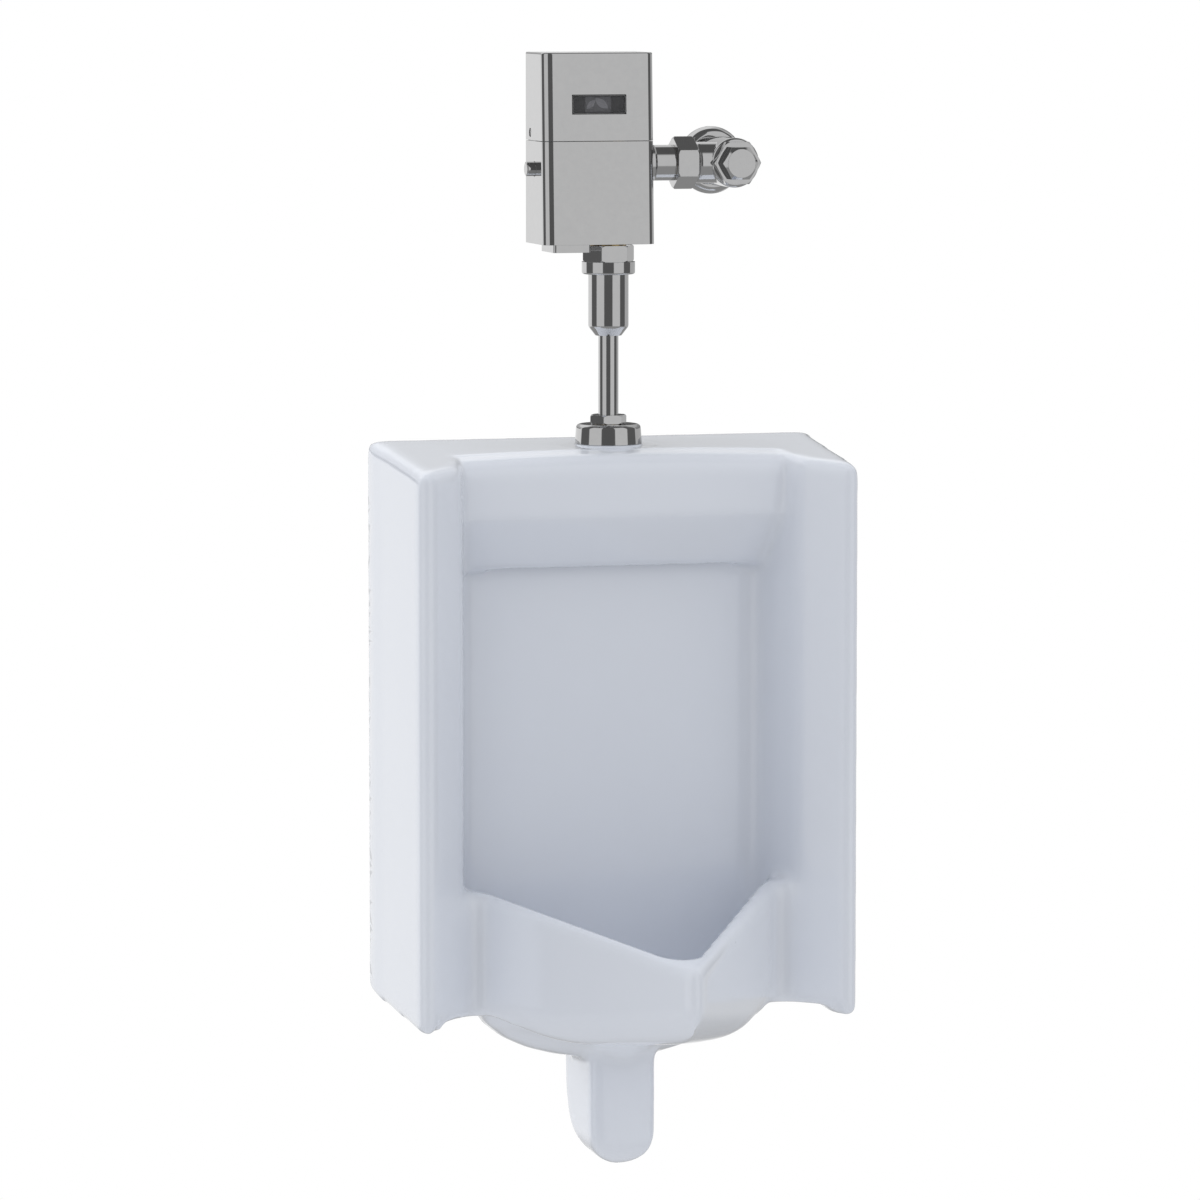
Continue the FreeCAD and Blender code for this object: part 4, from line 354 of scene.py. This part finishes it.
# Each plain finish: slot, name, dark and light colour, roughness range, grain scale and depth.
METALS = (
    ("chrome", "polished_chrome", (0.6, 0.6, 0.605), (0.65, 0.65, 0.65), (0.03, 0.07), 160.0, 0.004),
    ("stainless", "satin_stainless", (0.48, 0.48, 0.49), (0.6, 0.6, 0.6), (0.25, 0.38), 220.0, 0.05),
    ("zinc_steel", "zinc_plate", (0.46, 0.48, 0.5), (0.62, 0.63, 0.64), (0.3, 0.45), 140.0, 0.08),
    ("brass", "cast_brass", (0.56, 0.4, 0.16), (0.68, 0.51, 0.24), (0.25, 0.42), 260.0, 0.12),
    ("armature_steel", "ground_steel", (0.42, 0.42, 0.43), (0.54, 0.54, 0.54), (0.28, 0.4), 300.0, 0.06),
)
PLASTICS = (
    ("rubber", "black_rubber", (0.018, 0.018, 0.018), (0.035, 0.034, 0.033), (0.6, 0.8), 320.0, 0.1),
    ("white_acetal", "white_acetal", (0.74, 0.74, 0.7), (0.82, 0.82, 0.78), (0.35, 0.5), 260.0, 0.05),
    ("black_plastic", "black_plastic", (0.016, 0.016, 0.018), (0.03, 0.03, 0.032), (0.3, 0.45), 420.0, 0.1),
    ("board", "circuit_board", (0.01, 0.09, 0.035), (0.02, 0.14, 0.05), (0.3, 0.5), 380.0, 0.1),
)


def finishes():
    """The material of each slot."""
    made = {"china": china(), "smoked_window": smoked()}
    for slot, *settings in METALS:
        made[slot] = surface(*settings, Metallic=1.0)
    for slot, *settings in PLASTICS:
        made[slot] = surface(*settings)
    return made


MATERIALS = finishes()
SLOTS = {part["node"]: part["material_slot"] for part in frame["record"]["subparts"]}


def dress():
    """Gives each node the material of its slot in the record."""
    for name, slot in SLOTS.items():
        materials = nodes[name].data.materials
        materials.clear()
        materials.append(MATERIALS[slot])


def link(name, mesh, slot, finish=None):
    """Adds a new piece to the fixture, with its slot's finish unless another one is given."""
    mesh.polygons.foreach_set("use_smooth", [True] * len(mesh.polygons))
    mesh.materials.clear()
    mesh.materials.append(finish or MATERIALS[slot])
    item = loose(name, mesh)
    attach(item, "fixture")
    return item


def loose(name, mesh):
    """A mesh as an object of the scene."""
    item = bpy.data.objects.new(name, mesh)
    bpy.context.collection.objects.link(item)
    return item


# The china's grid: its step, its turn against the axes, the rounds of relaxing before and after the trim of
# the underside, the share of each move, and the triangles kept.
GLAZE_GRID = 2.3 * MM
GLAZE_TURN = (0.5, 0.7, 0.4)
GLAZE_ROUNDS = (30, 14)
GLAZE_SHARE = 0.5
GLAZE_TRIANGLES = 195000
# The lip of the CAD form: the corners of its lower line as depth and height, the round of the dip, the outward
# direction of its sides as width and depth, and how far out they stand.
LIP_CORNERS = ((126 * MM, 29.2 * MM), (136 * MM, 28.2 * MM), (198 * MM, 7.5 * MM), (366 * MM, 36.4 * MM))
DIP_ROUND = 130.0 * MM
LIP_LEAN = (0.853, 0.522)
LIP_REACH = 196.4 * MM
# The lip here: the round of its lower edge, and the half widths over which that ends beside the wings.
LIP_ROUND = 34.0 * MM
LIP_ROOT = (118 * MM, 142 * MM)
# Between lip and wing: the level of the lower edge, the depths where it starts, the cove that leads down to
# the wing's foot, that foot, and the height up to which all this is squeezed.
COVE_LEVEL = 31.0 * MM
COVE_DEPTHS = (106 * MM, 126 * MM)
COVE = (184 * MM, 197 * MM)
FOOT_LEVEL = 25.5 * MM
FOOT = (196 * MM, 200 * MM)
SQUEEZE_TOP = 62.0 * MM
# The hull's front: how far it is lifted, over which depths and heights.
HULL_LIFT = 3.0 * MM
HULL_DEPTHS = (55 * MM, 85 * MM)
HULL_FOOT = (-60 * MM, -25 * MM)
HULL_TOP = (0 * MM, 25 * MM)
# The wings' feet: how far they are let down, over which half widths, depths and heights.
WING_DROP = 4.0 * MM
WING_INNER = (186 * MM, 196 * MM)
WING_DEPTHS = (-10 * MM, 40 * MM)
WING_FADE = (30 * MM, 80 * MM)
# The hood: the heights of its crease and edge, how far the edge is set back, over which depths and up to
# which half width, and how far its middle rises over which depths.
CREASE_HEIGHT = 496 * MM
HOOD_HEIGHT = 552 * MM
HOOD_BACK = 18.0 * MM
HOOD_DEPTHS = (90 * MM, 125 * MM)
HOOD_HALF = 168 * MM
HOOD_END = 14 * MM
HOOD_RISE = 4.2 * MM
RISE_DEPTHS = (0 * MM, 120 * MM)
# The sides on the wall: how far they are pushed out, over which half widths and depths.
FLARE = 1.5 * MM
FLARE_WIDTHS = (195 * MM, 212 * MM)
FLARE_DEPTHS = (0 * MM, 60 * MM)
# The top: its height on the wall, its fall towards the front, and the skin and the radius of the zone that is
# made plane for the boss.
TOP_BACK = 564.5 * MM
TOP_FALL = 18.0 / 185.0
TOP_SKIN = 3.0 * MM
BOSS_CLEAR = 46.0 * MM


def evaluated(item):
    """The object's mesh with its modifiers applied; the object itself is dropped."""
    mesh = bpy.data.meshes.new_from_object(item.evaluated_get(bpy.context.evaluated_depsgraph_get()))
    bpy.data.objects.remove(item)
    return mesh


def places(mesh):
    """The mesh's points as an array."""
    points = np.empty(3 * len(mesh.vertices))
    mesh.vertices.foreach_get("co", points)
    return points.reshape(-1, 3)


def measured(points):
    """Distance from the middle plane, depth from the wall, and height."""
    return np.abs(points[:, 0]), -points[:, 1], points[:, 2]


def relaxed(points, edges, rounds):
    """Moves points by a share s towards the mean of their neighbours, p <- p + s (mean - p), in rounds."""
    first, second = edges.T
    count = len(points)
    neighbours = np.bincount(first, minlength=count) + np.bincount(second, minlength=count)
    for _ in range(rounds):
        total = np.stack([
            np.bincount(first, points[second, axis], count) + np.bincount(second, points[first, axis], count)
            for axis in range(3)], axis=1)
        points = points + GLAZE_SHARE * (total / neighbours[:, None] - points)
    return points


def ease(values, low, high):
    """A smooth step over arrays, 3 k^2 - 2 k^3 with k from 0 at low to 1 at high."""
    share = np.clip((values - low) / (high - low), 0, 1)
    return share ** 2 * (3 - 2 * share)


def lip_line(depth):
    """Height of the lip's lower line: straight runs between its corners, with an arc in the dip.

    The arc's middle is where the two runs beside the dip meet when both are moved up by its radius r. A run of
    slope s meets the arc at r s / hypot(1, s) from that middle.
    """
    (root, root_tall), (dip, dip_tall), (tip, tip_tall) = LIP_CORNERS[1:]
    fall = (dip_tall - root_tall) / (dip - root)
    rise = (tip_tall - dip_tall) / (tip - dip)
    long_fall, long_rise = math.hypot(1, fall), math.hypot(1, rise)
    middle = dip + DIP_ROUND * (long_rise - long_fall) / (fall - rise)
    middle_tall = dip_tall + fall * (middle - dip) + DIP_ROUND * long_fall
    start = DIP_ROUND * fall / long_fall
    end = DIP_ROUND * rise / long_rise
    out = depth - middle
    arc = middle_tall - np.sqrt(DIP_ROUND ** 2 - np.clip(out, start, end) ** 2)
    runs = np.interp(depth, *np.transpose(LIP_CORNERS))
    return np.where((out > start) & (out < end), arc, runs)


def rounded_lip(points):
    """Rounds the lower outer edge of the lip.

    With a and b the radius less the distances from the side and from the lower face, a point (a, b) goes to
    (a, b) max(a, b) / hypot(a, b), which turns the square corner into a quarter circle.
    """
    wide, depth, tall = measured(points)
    out = LIP_ROUND - LIP_REACH + LIP_LEAN[0] * wide + LIP_LEAN[1] * depth
    under = LIP_ROUND - tall + lip_line(depth)
    corner = (out > 0) & (under > 0)
    share = np.where(corner, 1 - np.maximum(out, under) / np.maximum(np.hypot(out, under), MM), 0)
    share *= 1 - ease(wide, *LIP_ROOT)
    moved = points.copy()
    moved[:, 0] -= np.sign(points[:, 0]) * LIP_LEAN[0] * out * share
    moved[:, 1] += LIP_LEAN[1] * out * share
    moved[:, 2] += under * share
    return moved


def raised_edge(points):
    """Between lip and wing, squeezes the heights below a top t from their dipping base b to a level l.

    z goes to t - (t - z) (t - l) / (t - b); l falls through a cove to the wing's foot, and no point of the
    foot stays lower.
    """
    wide, depth, tall = measured(points)
    base = lip_line(depth)
    level = COVE_LEVEL - (COVE_LEVEL - FOOT_LEVEL) * ease(wide, *COVE)
    squeezed = SQUEEZE_TOP - (SQUEEZE_TOP - tall) * (SQUEEZE_TOP - level) / (SQUEEZE_TOP - base)
    share = ease(wide, *LIP_ROOT) * (1 - ease(wide, *FOOT)) * ease(depth, *COVE_DEPTHS)
    share = np.where((tall < SQUEEZE_TOP) & (level > base), share, 0)
    moved = points.copy()
    moved[:, 2] += (squeezed - tall) * share
    foot = (wide > COVE[0]) & (depth > COVE_DEPTHS[1])
    moved[foot, 2] = np.maximum(moved[foot, 2], FOOT_LEVEL)
    return moved


def trimmed_underside(points):
    """Lifts the front of the hull and lets the wings' feet down, each faded by smooth steps."""
    wide, depth, tall = measured(points)
    hull = ease(depth, *HULL_DEPTHS) * ease(tall, *HULL_FOOT) * (1 - ease(tall, *HULL_TOP))
    foot = ease(wide, *WING_INNER) * ease(depth, *WING_DEPTHS) * (1 - ease(tall, *WING_FADE))
    moved = points.copy()
    moved[:, 2] += HULL_LIFT * hull - WING_DROP * foot
    return moved


def set_back_hood(points):
    """Leans the hood's front back and raises its middle.

    The lean grows in proportion to the height over the crease, and the rise follows 1 - (x / half)^2.
    """
    wide, depth, tall = measured(points)
    lean = np.clip((tall - CREASE_HEIGHT) / (HOOD_HEIGHT - CREASE_HEIGHT), 0, 1)
    lean *= ease(depth, *HOOD_DEPTHS) * (1 - ease(wide, HOOD_HALF - HOOD_END, HOOD_HALF))
    rise = np.clip(1 - (wide / HOOD_HALF) ** 2, 0, 1) * ease(depth, *RISE_DEPTHS)
    moved = points.copy()
    moved[:, 1] += HOOD_BACK * lean
    moved[:, 2] += HOOD_RISE * rise * ease(tall, CREASE_HEIGHT, HOOD_HEIGHT)
    return moved


def flared_back(points):
    """Pushes the sides out again on the wall, where the relaxing draws their outer edge in."""
    wide, depth, _ = measured(points)
    push = FLARE * ease(wide, *FLARE_WIDTHS) * (1 - ease(depth, *FLARE_DEPTHS))
    moved = points.copy()
    moved[:, 0] += np.sign(points[:, 0]) * push
    return moved


def flat_top(points):
    """Makes the top plane round the spud, z = top - fall depth."""
    across, along = spud_axis()
    plane = TOP_BACK + TOP_FALL * points[:, 1]
    out = np.hypot(points[:, 0] - across, points[:, 1] - along)
    near = (out < BOSS_CLEAR) & (points[:, 2] > plane - TOP_SKIN)
    moved = points.copy()
    moved[near, 2] = plane[near]
    return moved


def glazed_body():
    """The china with its soft fired edges.

    The CAD form is turned, put on an even voxel grid and turned back, so that no edge runs along the grid. The
    lip's edge is rounded and all points are relaxed, which rounds edges and leaves flat faces. The underside is
    trimmed and relaxed again, and the top, hood and sides get their final lines. All points are kept in the CAD
    form's own box, and flat parts are thinned last.
    """
    low, high = (np.array(corner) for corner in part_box("urinal_body"))
    turn = np.array(Euler(GLAZE_TURN).to_matrix())
    rough = loose("china_rough", nodes["urinal_body"].data.copy())
    rough.data.vertices.foreach_set("co", (places(rough.data) @ turn.T).ravel())
    grid = rough.modifiers.new("grid", "REMESH")
    grid.mode = "VOXEL"
    grid.voxel_size = GLAZE_GRID
    mesh = evaluated(rough)
    edges = np.empty(2 * len(mesh.edges), dtype=np.int64)
    mesh.edges.foreach_get("vertices", edges)
    edges = edges.reshape(-1, 2)
    points = relaxed(rounded_lip(places(mesh) @ turn), edges, GLAZE_ROUNDS[0])
    points = relaxed(trimmed_underside(raised_edge(points)), edges, GLAZE_ROUNDS[1])
    points = flared_back(set_back_hood(flat_top(points)))
    mesh.vertices.foreach_set("co", np.clip(points, low, high).ravel())
    mesh.update()
    smooth = loose("china_smooth", mesh)
    thin = smooth.modifiers.new("thin", "DECIMATE")
    thin.ratio = min(1.0, GLAZE_TRIANGLES / (2 * len(mesh.polygons)))
    item = link("china_body", evaluated(smooth), "china")
    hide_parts("urinal_body")


def spud_axis():
    """Where the spud's upright axis stands."""
    low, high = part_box("spud_escutcheon")
    return (low[0] + high[0]) / 2, (low[1] + high[1]) / 2


# The boss: its radius and upper round, its bore, its root below the top, the spread and height of its foot,
# the gap under the flange, and the steps of the round and of the turn.
BOSS_RADIUS = 32.6 * MM
BOSS_ROUND = 2.4 * MM
BOSS_BORE = 19.2 * MM
BOSS_ROOT = 4.0 * MM
BOSS_SPREAD = 1.2 * MM
BOSS_FOOT = 4.6 * MM
BOSS_GAP = 0.05 * MM
BOSS_ROUND_STEPS = 7
BOSS_TURN_STEPS = 96


def spud_boss():
    """The low boss under the spud's flange: a profile with a quarter-round edge, turned about the axis."""
    across, along = spud_axis()
    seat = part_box("spud_escutcheon")[0][2] - BOSS_GAP
    base = TOP_BACK + TOP_FALL * along - BOSS_ROOT
    outline = [(BOSS_RADIUS + BOSS_SPREAD, base), (BOSS_RADIUS, base + BOSS_FOOT)]
    for angle in np.linspace(0, math.pi / 2, BOSS_ROUND_STEPS):
        radius = BOSS_RADIUS - BOSS_ROUND * (1 - math.cos(angle))
        outline.append((radius, seat - BOSS_ROUND * (1 - math.sin(angle))))
    outline += [(BOSS_BORE, seat), (BOSS_BORE, base)]
    angles = np.linspace(0, 2 * math.pi, BOSS_TURN_STEPS, endpoint=False)
    rings = [np.stack([across + radius * np.cos(angles), along + radius * np.sin(angles),
                       np.full(len(angles), tall)], axis=1) for radius, tall in outline]
    link("spud_boss", skin("spud_boss", rings), "china")


def rounded(half_wide, half_high, radius, count=6):
    """Points round a rectangle whose corners are quarter circles: corner + radius (cos a, sin a)."""
    angles = np.add.outer(np.arange(4), np.linspace(0, 1, count)) * math.pi / 2
    sides = np.array((1, -1, -1, 1))[:, None]
    rises = np.array((1, 1, -1, -1))[:, None]
    wide = sides * (half_wide - radius) + radius * np.cos(angles)
    high = rises * (half_high - radius) + radius * np.sin(angles)
    return np.stack([wide.ravel(), high.ravel()], axis=1)


def upright(middle, outline, along):
    """An outline of widths and heights about a middle, set up at one depth or at one for each point."""
    depths = np.broadcast_to(along, len(outline))
    return np.stack([middle[0] + outline[:, 0], depths, middle[2] + outline[:, 1]], axis=1)


def skin(name, rings, close=False):
    """A mesh of quads between successive closed rings of points; close adds a face on the last ring."""
    rings = np.array(rings)
    layers, count = rings.shape[:2]
    place = np.arange(count)
    after = (place + 1) % count
    first = count * np.arange(layers - 1)[:, None]
    second = first + count
    quads = np.stack([first + place, first + after, second + after, second + place], axis=2)
    faces = quads.reshape(-1, 4).tolist()
    if close:
        faces.append(list(range((layers - 1) * count, layers * count)))
    mesh = bpy.data.meshes.new(name)
    mesh.from_pydata(rings.reshape(-1, 3).tolist(), [], faces)
    mesh.update()
    return mesh


def joined(name, meshes):
    """Several meshes as one."""
    points = np.concatenate([places(mesh) for mesh in meshes])
    faces = []
    first = 0
    for mesh in meshes:
        faces += [[first + corner for corner in face.vertices] for face in mesh.polygons]
        first += len(mesh.vertices)
    whole = bpy.data.meshes.new(name)
    whole.from_pydata(points.tolist(), [], faces)
    whole.update()
    return whole


# The window's frame: its section, its corner radius, its gaps to the window's edge and face, and its steps.
BEZEL_WIDTH = 0.9 * MM
BEZEL_RISE = 0.95 * MM
BEZEL_RADIUS = 1.8 * MM
BEZEL_GAP = 0.12 * MM
BEZEL_LIFT = 0.02 * MM
BEZEL_STEPS = 9
# How near to the window's lowest or highest level a point counts as lying on that edge.
PANE_EDGE = 0.1 * MM


def pane_plane():
    """The corners of the sensor window's box, and a and b in the line y = a + b z of its sloping face."""
    low, high = (np.array(corner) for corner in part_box("sensor_window"))
    points = places(nodes["sensor_window"].data)
    edge = [points[np.abs(points[:, 2] - level) < PANE_EDGE][:, 1].min() for level in (low[2], high[2])]
    slope = (edge[1] - edge[0]) / (high[2] - low[2])
    return low, high, edge[0] - slope * low[2], slope


def window_bezel():
    """A slim bright frame carried round the sensor window: its section rises by sin(pi k) over its width k."""
    low, high, base, slope = pane_plane()
    middle = (low + high) / 2
    half = (high - low) / 2 - BEZEL_GAP
    rings = []
    for share in np.linspace(0, 1, BEZEL_STEPS):
        inset = BEZEL_WIDTH * share
        outline = rounded(half[0] - inset, half[2] - inset, BEZEL_RADIUS - inset)
        face = base + slope * (middle[2] + outline[:, 1])
        rings.append(upright(middle, outline, face - BEZEL_RISE * math.sin(math.pi * share) - BEZEL_LIFT))
    link("window_bezel", skin("window_bezel", rings), "stainless")


# The sensor's housing: how far its front stands back from the CAD form, its corner radius, and its edge as
# inset and distance behind the front.
HOUSING_BACK = 0.7 * MM
HOUSING_RADIUS = 2.4 * MM
HOUSING_EDGE = ((0 * MM, 1.2 * MM), (0.35 * MM, 0.35 * MM), (1.2 * MM, 0 * MM))
# The lens plate: its half width and half height, its corner radius, its rise, its edge as inset and share of
# that rise, and its finish.
PLATE_HALF = (12.6 * MM, 7.4 * MM)
PLATE_RADIUS = 0.8 * MM
PLATE_RISE = 0.3 * MM
PLATE_EDGE = ((0 * MM, 0.0), (0.05 * MM, 0.8), (0.2 * MM, 1.0))
PLATE_FINISH = ("pale_plate", (0.36, 0.36, 0.36), (0.42, 0.42, 0.42), (0.4, 0.5), 300.0, 0.04)
# Each lens: middle across and up from the plate's middle, length, width, tilt in degrees.
LEAVES = ((-7.0 * MM, -0.1 * MM, 11.6 * MM, 5.2 * MM, 46), (3.4 * MM, 0.9 * MM, 15.4 * MM, 7.2 * MM, -38))
LEAF_RISE = 0.36 * MM
LEAF_CORE = 0.06
LEAF_STEPS = 17
LEAF_RINGS = 7
LEAF_FINISH = ("lens_acrylic", (0.84, 0.84, 0.84), (0.92, 0.92, 0.92), (0.12, 0.2), 240.0, 0.03)


def leaf(middle, front, across, up, length, width, tilt):
    """A pointed lens of rings that shrink by a share s and rise by 1 - s^2.

    Along its length u a ring reaches u l / 2 (1 + s) / 2 and is s w / 2 (1 - u^2) wide on each side.
    """
    rings = []
    turn = math.radians(tilt)
    along = np.linspace(-1, 1, LEAF_STEPS)
    edge = np.concatenate([along, along[::-1][1:-1]])
    side = np.concatenate([np.ones(len(along)), -np.ones(len(along) - 2)])
    for share in np.linspace(1, LEAF_CORE, LEAF_RINGS):
        reach = edge * length / 2 * (1 + share) / 2
        swell = side * share * width / 2 * (1 - edge ** 2)
        outline = np.stack([
            across + reach * math.cos(turn) - swell * math.sin(turn),
            up + reach * math.sin(turn) + swell * math.cos(turn)], axis=1)
        rings.append(upright(middle, outline, front - LEAF_RISE * (1 - share ** 2)))
    return skin("leaf", rings, close=True)


def sensor():
    """The sensor module behind the window: a rounded housing, a paler lens plate and two pointed lenses."""
    low, high = (np.array(corner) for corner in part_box("sensor_module"))
    middle = (low + high) / 2
    half = (high - low) / 2
    front = low[1] + HOUSING_BACK
    rings = [upright(middle, rounded(half[0], half[2], HOUSING_RADIUS), high[1])]
    for inset, behind in HOUSING_EDGE:
        outline = rounded(half[0] - inset, half[2] - inset, HOUSING_RADIUS - inset)
        rings.append(upright(middle, outline, front + behind))
    shell = skin("module_front", rings, close=True)
    back = skin("module_back", [rings[0][::-1]], close=True)
    item = link("sensor_housing", joined("sensor_housing", [shell, back]), "black_plastic")
    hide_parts("sensor_module")
    plate = []
    for inset, share in PLATE_EDGE:
        outline = rounded(PLATE_HALF[0] - inset, PLATE_HALF[1] - inset, PLATE_RADIUS - inset)
        plate.append(upright(middle, outline, front - PLATE_RISE * share))
    link("lens_plate", skin("lens_plate", plate, close=True), "smoked_window", surface(*PLATE_FINISH))
    lenses = [leaf(middle, front - PLATE_RISE, *shape) for shape in LEAVES]
    link("sensor_lenses", joined("sensor_lenses", lenses), "smoked_window", surface(*LEAF_FINISH))


# Each coil spring: its node, the joint that shortens it, its axis, and whether its upper end is fixed.
SPRINGS = (
    ("button_spring", "button_press", 0, True),
    ("solenoid_spring", "armature_pull", 0, False),
    ("piston_spring", "piston_lift", 2, True),
)
SPRING_WELD = 0.01 * MM


def springs():
    """The coil springs, each welded into one mesh that takes the place of its CAD node."""
    for name, joint, axis, upper_fixed in SPRINGS:
        low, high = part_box(name)
        coil = bmesh.new()
        coil.from_mesh(nodes[name].data)
        bmesh.ops.remove_doubles(coil, verts=coil.verts, dist=SPRING_WELD)
        mesh = bpy.data.meshes.new(name)
        coil.to_mesh(mesh)
        coil.free()
        item = link(name + "_coil", mesh, SLOTS[name])
        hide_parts(name)
        anchor = [(first + last) / 2 for first, last in zip(low, high)]
        anchor[axis] = (high if upper_fixed else low)[axis]
        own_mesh(item)


camera()
world()
lights()
floor()
dress()
glazed_body()
spud_boss()
window_bezel()
sensor()
springs()
bpy.context.scene.view_settings.view_transform = "Standard"
